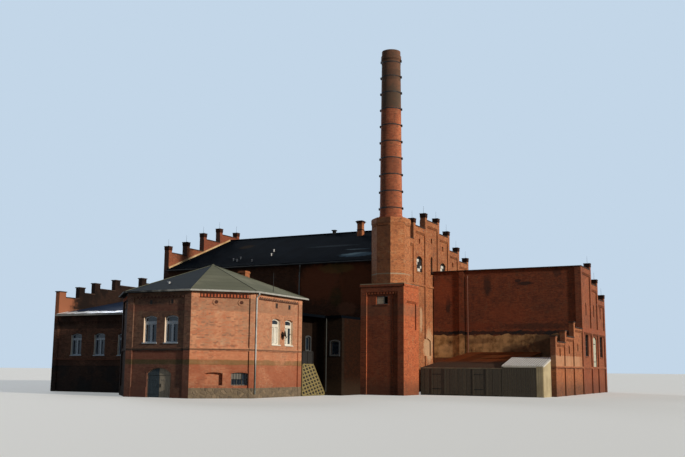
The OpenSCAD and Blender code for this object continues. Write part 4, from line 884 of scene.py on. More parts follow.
class Bench:
    """Collects the solid shapes of one piece and turns them into an object."""

    def __init__(self) -> None:
        """Starts with an empty mesh."""
        self.mesh = bmesh.new()

    def block(self, low: Sequence[Vector], high: Sequence[Vector]) -> None:
        """Closes two rings with the same number of corners into a solid.

        Args:
            low: Corners of the first ring, in order.
            high: Corners of the second ring, in the same order.
        """
        a = [self.mesh.verts.new(p) for p in low]
        b = [self.mesh.verts.new(p) for p in high]
        n = len(a)
        self.mesh.faces.new(list(reversed(a)))
        self.mesh.faces.new(b)
        for i in range(n):
            self.mesh.faces.new((a[i], a[(i + 1) % n], b[(i + 1) % n], b[i]))

    def box(self, face: Face, u: Pair, d: Pair, z: Pair) -> None:
        """A box on a wall between two places along it, in depth and in height."""
        self.plate(face, corners(u, z), d)

    def plate(self, face: Face, ring: Sequence[Pair], d: Pair) -> None:
        """A flat plate on a wall with an outline in u and z, between two depths."""
        self.block([face.at(u, d[1], z) for u, z in ring], [face.at(u, d[0], z) for u, z in ring])

    def slab(self, ring: Sequence[Vector], high: float) -> None:
        """A level slab that stands on a ring."""
        self.block(ring, [p + UP * high for p in ring])

    def sheet(self, ring: Sequence[Vector], thick: float) -> None:
        """A flat slab on four or more corners, laid anticlockwise seen from its free side."""
        normal = (ring[1] - ring[0]).cross(ring[2] - ring[0]).normalized()
        self.block(ring, [p + normal * thick for p in ring])

    def lathe(self, centre: Vector, axis: Vector, profile: Sequence[Pair], sides: int = 16) -> None:
        """A turned shape about an axis.

        Args:
            centre: Point on the axis that heights count from.
            axis: Direction of the axis.
            profile: Pairs of radius and height; a radius of 0 closes the shape on the axis.
            sides: Number of flat sides.
        """
        axis = axis.normalized()
        side = axis.orthogonal().normalized()
        other = axis.cross(side)
        rings = []
        for radius, height in profile:
            spots = circle(centre + axis * height, side, other, radius, sides if radius > 0 else 1)
            rings.append([self.mesh.verts.new(p) for p in spots])
        pairs = list(zip(rings, rings[1:]))
        if len(rings[0]) > 1 and len(rings[-1]) > 1:
            pairs.append((rings[-1], rings[0]))
        for a, b in pairs:
            for k in range(sides):
                j = (k + 1) % sides
                loop = [a[k % len(a)], a[j % len(a)], b[j % len(b)], b[k % len(b)]]
                self.mesh.faces.new(list(dict.fromkeys(loop)))

    def ring(self, face: Face, outer: Sequence[Pair], inner: Sequence[Pair], d: Pair) -> None:
        """A closed frame on a wall between an outer and an inner outline of as many points."""
        n = len(outer)
        rows = [[self.mesh.verts.new(face.at(u, depth, z)) for u, z in line] for line in (outer, inner)
                for depth in d]
        front_out, back_out, front_in, back_in = rows
        for i in range(n):
            j = (i + 1) % n
            for a, b in ((front_out, front_in), (back_in, back_out), (back_out, front_out), (front_in, back_in)):
                self.mesh.faces.new((a[i], a[j], b[j], b[i]))

    def tube(self, path: Sequence[Vector], radius: float, sides: int = 12, taper: float = 1.0) -> None:
        """A round bar or pipe along a path, closed at both ends.

        Args:
            path: Points of its centre line.
            radius: Radius at the first point.
            sides: Number of flat sides.
            taper: Radius at the last point as a share of the first.
        """
        rings = []
        for i, p in enumerate(path):
            ahead = (path[min(i + 1, len(path) - 1)] - path[max(i - 1, 0)]).normalized()
            side = ahead.orthogonal().normalized() if i == 0 else (side - ahead * side.dot(ahead)).normalized()
            other = ahead.cross(side)
            r = radius * (1 + (taper - 1) * i / (len(path) - 1))
            rings.append([self.mesh.verts.new(spot) for spot in circle(p, side, other, r, sides)])
        for a, b in zip(rings, rings[1:]):
            for k in range(sides):
                self.mesh.faces.new((a[k], a[(k + 1) % sides], b[(k + 1) % sides], b[k]))
        self.mesh.faces.new(list(reversed(rings[0])))
        self.mesh.faces.new(rings[-1])

    def rod(self, face: Face, path: Sequence[Triple], radius: float, sides: int = 12, taper: float = 1.0) -> None:
        """A round bar or pipe along points taped on a wall."""
        self.tube([face.at(*p) for p in path], radius, sides, taper)

    def piece(self, name: str, finish: Finish, slot: Slot, body: Body = Body.BUILDING,
              bevel: float = 0.0) -> bpy.types.Object:
        """Ends the mesh as an object that rides on a body.

        Args:
            name: Name of the piece.
            finish: Its finish.
            slot: The record's slot that the finish belongs to; not used.
            body: The body that carries it.
            bevel: Width of its rounded edges, none at 0.

        Returns:
            The new object.
        """
        bmesh.ops.recalc_face_normals(self.mesh, faces=self.mesh.faces)
        data = bpy.data.meshes.new(name)
        self.mesh.to_mesh(data)
        self.mesh.free()
        made = bpy.data.objects.new(name, data)
        bpy.context.scene.collection.objects.link(made)
        data.materials.append(finish.material())
        if bevel > 0:
            edge = made.modifiers.new("rounded_edges", "BEVEL")
            edge.width, edge.segments, edge.limit_method = bevel, 2, "ANGLE"
        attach(made, body.value)
        log.info("piece %s with %d faces", name, len(data.polygons))
        return made


@dataclass
class Casement:
    """A window's wooden frame with its bars, set in a wall's opening.

    With a mullion it has a stout post up to a transom, given as two heights over the sill, and an
    undivided light above.
    """

    frame: float = 0.07
    bar: float = 0.04
    depth: float = 0.06
    columns: int = 2
    rows: int = 3
    mullion: float = 0.0
    rail: Pair = (0.0, 0.0)

    def lay(self, bench: Bench, face: Face, hole: Opening, d: float) -> None:
        """Lays frame and bars into a bench.

        Args:
            bench: Bench that gets the wood.
            face: Wall of the window.
            hole: Its opening.
            d: Depth of the frame's front in the wall.
        """
        bench.ring(face, hole.outline(0.0), hole.outline(self.frame), (d, d + self.depth))
        inner = hole.width / 2 - self.frame
        low = hole.sill + self.frame
        top = hole.springing - self.frame
        if self.mullion > 0:
            bench.box(face, about(hole.u, inner + 0.01), (d - 0.012, d + self.depth),
                      (hole.sill + self.rail[0], hole.sill + self.rail[1]))
            bench.box(face, about(hole.u, self.mullion / 2), (d - 0.006, d + self.depth),
                      (low - 0.01, hole.sill + self.rail[0] + 0.01))
            return
        for i in range(1, self.columns):
            u = hole.u - inner + 2 * inner * i / self.columns
            wide = self.frame * 0.9 if self.columns == 2 else self.bar
            bench.box(face, about(u, wide / 2), (d + 0.008, d + self.depth - 0.008),
                      (low - 0.01, hole.head(u, self.frame) + 0.01))
        for i in range(1, self.rows):
            z = low + (top - low) * i / self.rows
            bench.box(face, about(hole.u, inner + 0.01), (d + 0.014, d + self.depth - 0.014), about(z, self.bar / 2))


@dataclass
class BrickHead:
    """A segmental arch of bricks on end over an opening, and a sloping brick sill under it."""

    height: float = 0.25
    proud: float = 0.015
    sill_proud: float = 0.05

    def arch(self, bench: Bench, face: Face, hole: Opening, d: float = 0.0) -> None:
        """Lays the arch's bricks, one by one with open joints."""
        r0, half = hole.radius + 0.002, math.asin(hole.width / 2 / hole.radius) + 0.02
        count = max(3, round(2 * half * (r0 + self.height / 2) / 0.085))
        for i in range(count):
            a, b = (-half + 2 * half * (i + k) / count for k in (0.06, 0.94))
            ring = [(hole.u + r * math.sin(t), hole.centre_z + r * math.cos(t))
                    for r, t in ((r0, a), (r0, b), (r0 + self.height, b), (r0 + self.height, a))]
            bench.plate(face, ring, (d - self.proud, d + 0.03))

    def sill(self, bench: Bench, face: Face, hole: Opening, d: float = 0.0) -> None:
        """Lays the sill's bricks on edge, falling outwards."""
        u0, u1 = hole.u - hole.width / 2 - 0.06, hole.u + hole.width / 2 + 0.06
        count = round((u1 - u0) / 0.08)
        for i in range(count):
            a, b = (u0 + (u1 - u0) * (i + k) / count for k in (0.06, 0.94))
            low, high = hole.sill - 0.11, hole.sill + 0.012
            ends = ((d + 0.1, high), (d - self.sill_proud, low + 0.08))
            back, front = ([face.at(u, depth, z) for u, z in corners((a, b), (low, top))] for depth, top in ends)
            bench.block(back, front)


def fit_window(sash: Casement, frames: Bench, bricks: Bench, face: Face, hole: Opening, recess: float = 0.0) -> None:
    """Sets a sash into a two-brick wall, with a brick arch over it and a brick sill.

    Args:
        sash: The sash.
        frames: Bench that gets it.
        bricks: Bench that gets the arch and the sill.
        face: Wall of the window.
        hole: Its opening.
        recess: Depth of the panel that the window stands in.
    """
    sash.lay(frames, face, hole, 0.2)
    BrickHead().arch(bricks, face, hole, recess)
    BrickHead().sill(bricks, face, hole, recess)


def teeth(bench: Bench, face: Face, u: Pair, d: Pair, z: Pair, pitch: float = 0.26) -> None:
    """Lays a row of brick teeth along a wall, half as wide as their pitch."""
    count = max(1, round((u[1] - u[0]) / pitch))
    step = (u[1] - u[0]) / count
    for i in range(count):
        bench.box(face, (u[0] + (i + 0.25) * step, u[0] + (i + 0.75) * step), d, z)


def dress(nodes: Nodes, finishes: dict[str, Finish]) -> None:
    """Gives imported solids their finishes, without touching their meshes."""
    for node, finish in finishes.items():
        for holder in nodes[node].material_slots:
            holder.link = "OBJECT"
            holder.material = finish.material()


@dataclass
class Hall:
    """The gabled hall: finishes, window frames, brick trim and roof details."""

    length: float = 22.1
    width: float = 19.175
    wall: float = 0.51
    eave: float = 10.42
    ridge: float = 14.18
    roof: float = 0.18
    right: Face = Face(0.0, 0.0, 90)
    left: Face = Face(-22.1, 19.175, -90)
    back: Face = Face(0.0, 19.175, 180)
    slit: Opening = Opening(0.0, 10.1, 0.45, 1.6, 0.2)
    arched: Opening = Opening(0.0, 10.1, 1.28, 1.35, 0.24)
    back_light: Opening = Opening(0.0, 0.0, 1.1, 2.2, 0.24)
    back_sills: Pair = (1.2, 6.4)
    piers: tuple[float, ...] = (0.2375, 2.8575, 5.4775, 8.0975, 11.0775, 13.6975, 16.3175, 18.9375)
    pier_tops: tuple[float, ...] = (12.585, 13.295, 14.485, 15.305, 15.305, 14.485, 13.295, 12.585)
    bay_tops: tuple[float, ...] = (12.04, 12.75, 13.94, 14.76, 13.94, 12.75, 12.04)
    pier_w: float = 0.475
    frieze: float = 0.42
    recess: float = 0.10
    pipes: tuple[Pair, ...] = (
        (-15.64, 1.53), (-15.07, 1.22), (-15.14, 1.9), (-13.26, 0.83), (-13.0, 3.99), (-12.38, 2.57),
    )

    def build(self, nodes: Nodes) -> None:
        """Dresses the hall's solids and adds its pieces."""
        dress(nodes, {
            "hall_front_wall": HALL_SHADE, "hall_back_wall": MAIN_BRICK, "hall_right_gable": MAIN_BRICK,
            "hall_left_gable": SOOT_GABLE, "hall_roof_front": HALL_FELT, "hall_roof_back": HALL_FELT,
            "gable_copings": CAPPING, "hall_glass": DARK_GLASS, "roof_vent": MAIN_BRICK,
        })
        self.windows()
        self.broken_panes()
        self.trim()
        self.merlons()
        self.roof_details()
        self.rainwater()

    def on_roof(self, x: float, y: float, lift: float = 0.0) -> Vector:
        """The point of the front roof slope over a place on the ground."""
        slope = (self.ridge - self.eave) / (self.width / 2)
        return TAPE.at(x, y, self.eave + self.roof + slope * y + lift)

    def gable_holes(self) -> list[Opening]:
        """The three openings high in a gable: the slit first, then the two arched windows."""
        bay = [(a + b) / 2 for a, b in zip(self.piers, self.piers[1:])]
        return [replace(self.slit, u=bay[3])] + [replace(self.arched, u=bay[k]) for k in (2, 4)]

    def windows(self) -> None:
        """Frames, bars, arches and sills of the gables and the back wall."""
        frames, bricks = Bench(), Bench()
        iron = Casement(frame=0.05, bar=0.028, depth=0.05, columns=4, rows=4)
        slit = Casement(0.04, 0.028, 0.05, 1, 4)
        for face in (self.right, self.left):
            for hole in self.gable_holes():
                fit_window(iron if hole.width > 1 else slit, frames, bricks, face, hole, self.recess)
        for i in range(5):
            for sill in self.back_sills:
                hole = replace(self.back_light, u=self.length * (i + 0.5) / 5, sill=sill)
                fit_window(Casement(0.05, 0.028, 0.05, 3, 6), frames, bricks, self.back, hole)
        frames.piece("hall_window_frames", DARK_PAINT, Slot.STEEL)
        bricks.piece("hall_window_brick_trim", MAIN_BRICK, Slot.BRICK)

    def broken_panes(self) -> None:
        """Panes that are whitewashed or boarded beside broken ones, high in the right gable; dark iron plates in the
        broken ones are painted shade of the room behind.
        """
        pale, dark = Bench(), Bench()
        d = (self.wall / 2 - 0.075, self.wall / 2 - 0.06)
        holes = self.gable_holes()
        whole = (((0, 3), (1, 3), (0, 2), (3, 1), (1, 0), (2, 0)),
                 ((0, 2), (1, 2), (2, 1), (0, 1), (1, 0), (2, 3), (1, 3)))
        for hole, sound in zip(holes[1:], whole):
            low, top = hole.sill + 0.05, hole.springing
            wide, high = (hole.width - 0.1) / 4, (top - low) / 4
            for column in range(4):
                for row in range(4):
                    u = hole.u + wide * (column - 1.5)
                    z = low + high * (row + 0.5)
                    bench = pale if (column, row) in sound else dark
                    bench.box(self.right, about(u, wide / 2 - 0.012), d, about(z, high / 2 - 0.012))
        pale.piece("whitewashed_panes", CLOTH, Slot.GLASS)
        dark.piece("broken_panes", DARK_IRON, Slot.GLASS)

    def trim(self) -> None:
        """Teeth under the gables' friezes, and the joint of mortar where roof and gable meet."""
        bench, mortar = Bench(), Bench()
        for face in (self.right, self.left):
            for i, top in enumerate(self.bay_tops):
                u = (self.piers[i] + 0.2375, self.piers[i + 1] - 0.2375)
                z = top - self.frieze
                teeth(bench, face, u, (0.02, self.recess), (z - 0.16, z))
        bench.piece("gable_brick_teeth", MAIN_BRICK, Slot.BRICK)
        for edge in (-self.length + self.wall, -self.wall):
            a, b = (edge, edge + 0.1) if edge < -5 else (edge - 0.1, edge)
            for y0, y1 in ((0.0, 3.2), (3.2, 6.4), (6.4, 9.55)):
                mortar.sheet([self.on_roof(x, y) for x, y in corners((a, b), (y0, y1))], 0.14)
        mortar.piece("roof_verge_mortar", LIME_MORTAR, Slot.COPING)

    def merlons(self) -> None:
        """Sooty cap courses round the gable piers, under their slabs, and a rod on each."""
        caps, rods = Bench(), Bench()
        for face in (self.right, self.left):
            for u, top in zip(self.piers, self.pier_tops):
                w = self.pier_w / 2
                caps.box(face, about(u, w + 0.025), (-0.025, self.pier_w + 0.025), (top - 0.24, top - 0.002))
                caps.box(face, about(u, w + 0.012), (-0.012, self.pier_w + 0.012), (top - 0.31, top - 0.24))
                rods.rod(face, ((u, 0.24, top + 0.05), (u, 0.24, top + 0.75)), 0.012, 8, 0.5)
                rods.rod(face, ((u, 0.24, top + 0.05), (u, 0.24, top + 0.13)), 0.04, 8, 0.6)
        caps.piece("sooty_pier_caps", SOOTY_CAPS, Slot.BRICK)
        rods.piece("lightning_rods", DARK_IRON, Slot.STEEL)

    def roof_details(self) -> None:
        """Ridge roll, ridge vent, small pipes through the felt and the cap of the brick vent."""
        roll, vents, stubs = Bench(), Bench(), Bench()
        top = self.ridge + self.roof
        ends = (-self.length + self.wall, -self.wall)
        roll.rod(TAPE, [(x, self.width / 2, top + 0.01) for x in ends], 0.09)
        roll.piece("hall_ridge_roll", HALL_FELT, Slot.FELT)
        ridge = Face(-9.84, self.width / 2, 0)
        vents.box(ridge, (-0.13, 0.13), (-0.13, 0.13), (top - 0.05, top + 0.26))
        vents.box(ridge, (-0.2, 0.2), (-0.2, 0.2), (top + 0.26, top + 0.36))
        vents.piece("ridge_vent", DARK_IRON, Slot.STEEL, bevel=0.01)
        for x, y in self.pipes:
            stubs.tube([self.on_roof(x, y, -0.02), self.on_roof(x, y, 0.17)], 0.05, 12, 0.9)
            stubs.lathe(self.on_roof(x, y, 0.17), UP, ((0.0, 0.06), (0.07, 0.03), (0.085, 0.0), (0.0, -0.01)), 12)
        stubs.piece("roof_pipe_stubs", PIPE_ZINC, Slot.STEEL)
        cap = Bench()
        stack = Face(-6.72, 8.0875, 0)
        for w, z0, z1 in ((0.075, 14.99, 15.06), (0.13, 15.06, 15.12), (0.05, 15.12, 15.18)):
            cap.box(stack, (-w, 0.48 + w), (-w, 0.48 + w), (z0, z1))
        cap.box(stack, (-0.03, 0.51), (-0.03, 0.51), (14.3, 14.38))
        cap.piece("roof_vent_cap", SOOTY_CAPS, Slot.COPING, bevel=0.01)

    def rainwater(self) -> None:
        """Eave gutter with its brackets, and the pipe that runs down to the link's roof."""
        bench = Bench()
        slope = (self.ridge - self.eave) / (self.width / 2)
        z = self.eave - 0.26 * slope
        ends = (-self.length + self.wall + 0.02, -1.3)
        bench.rod(TAPE, [(x, -0.335, z + 0.045) for x in ends], 0.07, 10)
        for i in range(26):
            x = -self.length + 0.9 + i * 0.75
            bench.box(Face(x, 0.0, 0), (-0.012, 0.012), (-0.4, 0.01), (z - 0.035, z - 0.022))
        bench.piece("hall_eave_gutter", DARK_IRON, Slot.STEEL)
        pipe = Bench()
        neck = ((-7.8, -0.335, 10.3), (-7.81, -0.33, 10.1), (-7.97, -0.08, 9.72), (-7.98, -0.075, 9.6))
        pipe.rod(TAPE, (*neck, (-8.03, -0.075, 5.66)), 0.05)
        for z in (9.4, 8.1, 6.8):
            pipe.box(Face(-8.01, 0.0, 0), (-0.062, 0.062), (-0.135, 0.01), (z, z + 0.035))
        pipe.piece("hall_downpipe", GREY_PAINT, Slot.STEEL)


@dataclass
class Chimney:
    """The chimney: base, tapering shaft, steel bands with their locks, and climbing irons."""

    base_top: float = 13.4
    top: float = 27.05
    first: float = 14.2
    pitch: float = 1.332
    bands: int = 10
    foot_radius: float = 0.885
    crown_radius: float = 0.745
    base_flats: float = 2.77
    lock_angles: Pair = (12.0, 192.0)
    irons: int = 38
    iron_pitch: float = 0.34
    iron_angle: float = 75.0

    def radius(self, z: float) -> float:
        """Radius of the shaft at a height."""
        share = (z - self.base_top) / (self.top - self.base_top)
        return self.foot_radius + (self.crown_radius - self.foot_radius) * share

    def spot(self, angle: float, out: float, z: float) -> Vector:
        """A point round the chimney's axis, by angle from +X and distance."""
        a = math.radians(angle)
        return Vector((out * math.cos(a), out * math.sin(a), z))

    def build(self, nodes: Nodes) -> None:
        """Dresses the chimney's solids and adds its ironwork."""
        dress(nodes, {"stack_base": BASE_BRICK, "stack_shaft": SHAFT_BRICK, "stack_bands": RUST_STEEL})
        locks, irons, courses = Bench(), Bench(), Bench()
        for i in range(self.bands):
            z = self.first + i * self.pitch
            for angle in self.lock_angles:
                r = self.radius(z)
                side = self.spot(angle + 90, 1.0, 0.0)
                low = [self.spot(angle, r + d, z - 0.035) + side * w
                       for d, w in ((0.0, -0.09), (0.1, -0.09), (0.1, 0.09), (0.0, 0.09))]
                locks.slab(low, 0.16)
                bolt = self.spot(angle, r + 0.06, z + 0.045)
                locks.tube([bolt - side * 0.14, bolt + side * 0.14], 0.016, 8)
        locks.piece("band_locks", RUST_STEEL, Slot.STEEL)
        for i in range(self.irons):
            z = self.base_top + 0.45 + i * self.iron_pitch
            r = self.radius(z)
            ends = [self.spot(self.iron_angle + 180 * w / math.pi / r, r, z) for w in (-0.17, 0.17)]
            out = self.spot(self.iron_angle, 0.13, 0.0)
            irons.tube([ends[0] - out * 0.3, ends[0] + out, ends[1] + out, ends[1] - out * 0.3], 0.013, 6)
        irons.piece("climbing_irons", DARK_IRON, Slot.STEEL)
        half = self.base_flats / 2
        for k in range(8):
            a = 45.0 * k
            face_mid = self.spot(a, half, 0.0)
            side = self.spot(a + 90, 1.0, 0.0)
            run = half * math.tan(math.radians(22.5)) - 0.06
            for i in range(6):
                u0, u1 = (-run + 2 * run * (i + s) / 6 for s in (0.25, 0.75))
                low = [face_mid + side * u + self.spot(a, d, 12.78)
                       for d, u in ((-0.02, u0), (0.035, u0), (0.035, u1), (-0.02, u1))]
                courses.slab(low, 0.13)
        courses.piece("base_cornice_teeth", BASE_BRICK, Slot.CHIMNEY)


@dataclass
class Tower:
    """The low tower at the chimney's foot."""

    front: Face = Face(-0.14, -4.6, 0)
    right: Face = Face(3.3, -4.6, 90)
    width: float = 3.44
    depth: float = 2.83
    top: float = 7.85
    frieze: float = 0.42
    pier: float = 0.475
    proud: float = 0.10
    window: Opening = Opening(1.68, 6.53, 0.94, 0.6, 0.001)

    def build(self, nodes: Nodes) -> None:
        """Dresses the tower's solids and adds the window's boards and the brick teeth."""
        dress(nodes, {"tower_walls": TOWER_BRICK, "tower_roof": CONCRETE})
        bricks, boards, frame = Bench(), Bench(), Bench()
        z = self.top - self.frieze
        teeth(bricks, self.front, (self.pier + 0.02, self.width - self.pier - 0.02), (0.02, self.proud),
              (z - 0.15, z), 0.24)
        bricks.box(self.front, about(self.window.u, 0.55), (self.proud - 0.04, self.proud + 0.03),
                   (self.window.sill - 0.08, self.window.sill))
        teeth(bricks, self.right, (self.pier, self.depth - self.pier), (0.02, self.proud), (6.65, 6.8), 0.24)
        bricks.box(self.front, (-0.052, self.width + 0.052), (-0.052, 0.0), (self.top - 0.02, self.top + 0.13))
        bricks.box(self.right, (-0.052, self.depth), (-0.052, 0.0), (self.top - 0.02, self.top + 0.15))
        bricks.piece("tower_brick_teeth", TOWER_BRICK, Slot.BRICK)
        w, low = self.window, self.window.sill
        frame.box(self.front, about(w.u, 0.47), (0.2, 0.25), (low, low + 0.05))
        frame.box(self.front, about(w.u, 0.47), (0.2, 0.25), (low + 0.55, low + 0.6))
        for u in (-0.47, 0.13, 0.42):
            frame.box(self.front, (w.u + u, w.u + u + 0.05), (0.2, 0.25), (low, low + 0.6))
        frame.piece("tower_window_frame", GREY_PAINT, Slot.TIMBER)
        for i in range(4):
            boards.box(self.front, (w.u - 0.42, w.u + 0.13), (0.16, 0.2),
                       (low + 0.05 + 0.125 * i, low + 0.165 + 0.125 * i))
        boards.piece("tower_window_boards", DOOR_PALE, Slot.TIMBER)


@dataclass
class Wing:
    """The blank wing and the stepped yard wall before it."""

    gable: Face = Face(12.9, 9.7, 90)
    back: Face = Face(12.39, 19.175, 180)
    yard: Face = Face(12.9, 0.64, 90)
    length: float = 12.39
    wall: float = 0.51
    recess: float = 0.10
    light: Opening = Opening(0.0, 3.05, 1.2, 1.9, 0.24)
    light_us: Pair = (1.974, 7.794)
    loading: Opening = Opening(5.03, 2.2, 1.5, 2.55, 0.24)
    piers: tuple[float, ...] = (0.2375, 3.71, 6.35, 9.2375)
    bay_tops: tuple[float, ...] = (10.35, 9.2, 8.05)
    pier_rise: float = 0.545
    pier_w: float = 0.475
    yard_piers: tuple[float, ...] = (0.2375, 3.178, 6.119, 9.06)
    yard_tops: tuple[float, ...] = (3.91, 4.4, 5.2)
    yard_rise: float = 0.39

    def build(self, nodes: Nodes) -> None:
        """Dresses the wing's solids and adds its pieces."""
        dress(nodes, {
            "wing_front_wall": WING_BRICK, "wing_back_wall": MAIN_BRICK, "wing_gable": WING_GABLE_BRICK,
            "wing_roof": HALL_FELT, "wing_copings": CAPPING, "wing_glass": DARK_GLASS, "yard_gable": YARD_BRICK,
            "yard_copings": CAPPING,
        })
        self.windows()
        self.hatch()
        self.trim()
        self.plaster()
        self.rainwater()

    def plaster(self) -> None:
        """Old lime plaster on the front wall over the shed's roof, broken off along its upper edge."""
        bench = Bench()
        front = Face(0.0, 9.7, 0)
        waves = ((0.07, 3.1, 0.0), (0.05, 7.7, 1.0), (0.03, 17.0, 0.0))
        for u0, u1, d in ((0.02, 2.37, self.recess), (2.37, 2.85, 0.0), (2.85, 12.3, self.recess)):
            count = max(2, round((u1 - u0) / 0.3))
            us = [u0 + (u1 - u0) * i / count for i in range(count + 1)]
            top = [(u, 4.8 + sum(high * math.sin(pace * u + start) for high, pace, start in waves)) for u in us]
            for a, b in zip(top, top[1:]):
                bench.plate(front, [(a[0], 2.9), (b[0], 2.9), b, a], (d - 0.014, d + 0.004))
        bench.piece("wing_wall_plaster", OLD_PLASTER, Slot.PLASTER)

    def lights(self) -> list[Opening]:
        """The two outer windows of the gable."""
        return [replace(self.light, u=u) for u in self.light_us]

    def windows(self) -> None:
        """Frames, arches and sills of the gable's and the back wall's windows."""
        frames, bricks = Bench(), Bench()
        sash = Casement(0.055, 0.03, 0.05, 3, 4)
        for hole in self.lights():
            fit_window(sash, frames, bricks, self.gable, hole, self.recess)
        for i in range(3):
            hole = replace(self.light, u=self.length * (i + 0.5) / 3)
            fit_window(sash, frames, bricks, self.back, hole)
        frames.piece("wing_window_frames", DARK_PAINT, Slot.TIMBER)
        bricks.piece("wing_window_brick_trim", WING_GABLE_BRICK, Slot.BRICK)

    def hatch(self) -> None:
        """The loading hatch: pale upright boards with iron straps, its brick arch and its sill."""
        hole = self.loading
        boards, iron, bricks = Bench(), Bench(), Bench()
        d = self.wall / 2 - 0.09
        boards.plate(self.gable, hole.outline(0.004), (d + 0.03, d + 0.06))
        for i in range(9):
            u = hole.u - 0.72 + 0.16 * i
            boards.box(self.gable, (u, u + 0.15), (d, d + 0.03),
                       (hole.sill + 0.02, min(hole.head(u, 0.03), hole.head(u + 0.15, 0.03))))
        boards.piece("hatch_boards", HATCH_BOARDS, Slot.TIMBER)
        for z in (2.6, 4.1):
            iron.box(self.gable, (hole.u - 0.7, hole.u + 0.45), (d - 0.012, d), (z, z + 0.06))
            iron.rod(self.gable, ((hole.u - 0.7, d - 0.02, z - 0.02), (hole.u - 0.7, d - 0.02, z + 0.08)), 0.02, 8)
        iron.box(self.gable, (hole.u + 0.5, hole.u + 0.68), (d - 0.02, d), (3.3, 3.36))
        iron.piece("hatch_straps", DARK_IRON, Slot.STEEL)
        BrickHead().arch(bricks, self.gable, hole, self.recess)
        BrickHead().sill(bricks, self.gable, hole, self.recess)
        bricks.piece("hatch_brick_trim", WING_GABLE_BRICK, Slot.BRICK)

    def trim(self) -> None:
        """Brick teeth under the steps, sooty pier caps and rods."""
        bricks, yard, caps, rods = Bench(), Bench(), Bench(), Bench()
        w = self.pier_w / 2
        for i, top in enumerate(self.bay_tops):
            teeth(bricks, self.gable, (self.piers[i] + w, self.piers[i + 1] - w), (0.02, self.recess),
                  (top - 0.58, top - 0.42))
            high = top + self.pier_rise
            u = self.piers[i + 1]
            caps.box(self.gable, about(u, w + 0.025), (-0.025, self.pier_w + 0.025), (high - 0.24, high - 0.002))
            rods.rod(self.gable, ((u, 0.24, high + 0.05), (u, 0.24, high + 0.7)), 0.012, 8, 0.5)
        teeth(bricks, self.gable, (self.piers[0] + w, self.piers[3] - w), (0.02, self.recess), (4.84, 4.98))
        bricks.piece("wing_brick_teeth", WING_GABLE_BRICK, Slot.BRICK)
        for i, top in enumerate(self.yard_tops):
            end = self.yard_piers[i + 1] - (w if i < 2 else 0.0)
            u, high = self.yard_piers[i], top + self.yard_rise
            yard.box(self.yard, (u + w, end), (0.03, self.recess), (top - 0.16, top - 0.002))
            teeth(yard, self.yard, (u + w, end), (0.05, self.recess), (top - 0.32, top - 0.16))
            yard.box(self.yard, about(u, w + 0.02), (-0.02, 0.4), (high - 0.1, high - 0.002))
        yard.piece("yard_wall_brick_teeth", YARD_BRICK, Slot.BRICK)
        caps.piece("wing_pier_caps", SOOTY_CAPS, Slot.BRICK)
        rods.piece("wing_rods", DARK_IRON, Slot.STEEL)

    def rainwater(self) -> None:
        """Gutter along the wing's back eave, with its outlet and pipe at the gable's far corner."""
        bench = Bench()
        face = self.back
        bench.box(face, (-0.4, 12.2), (-0.2, -0.1), (6.3, 6.4))
        bench.box(face, (-0.42, -0.12), (-0.24, -0.01), (5.9, 6.32))
        bench.rod(face, ((-0.27, -0.1, 5.92), (-0.27, -0.1, 0.4)), 0.05)
        for z in (1.2, 3.0, 4.8):
            bench.box(face, (-0.34, -0.2), (-0.16, 0.01), (z, z + 0.04))
        bench.piece("wing_back_gutter", DARK_IRON, Slot.STEEL)


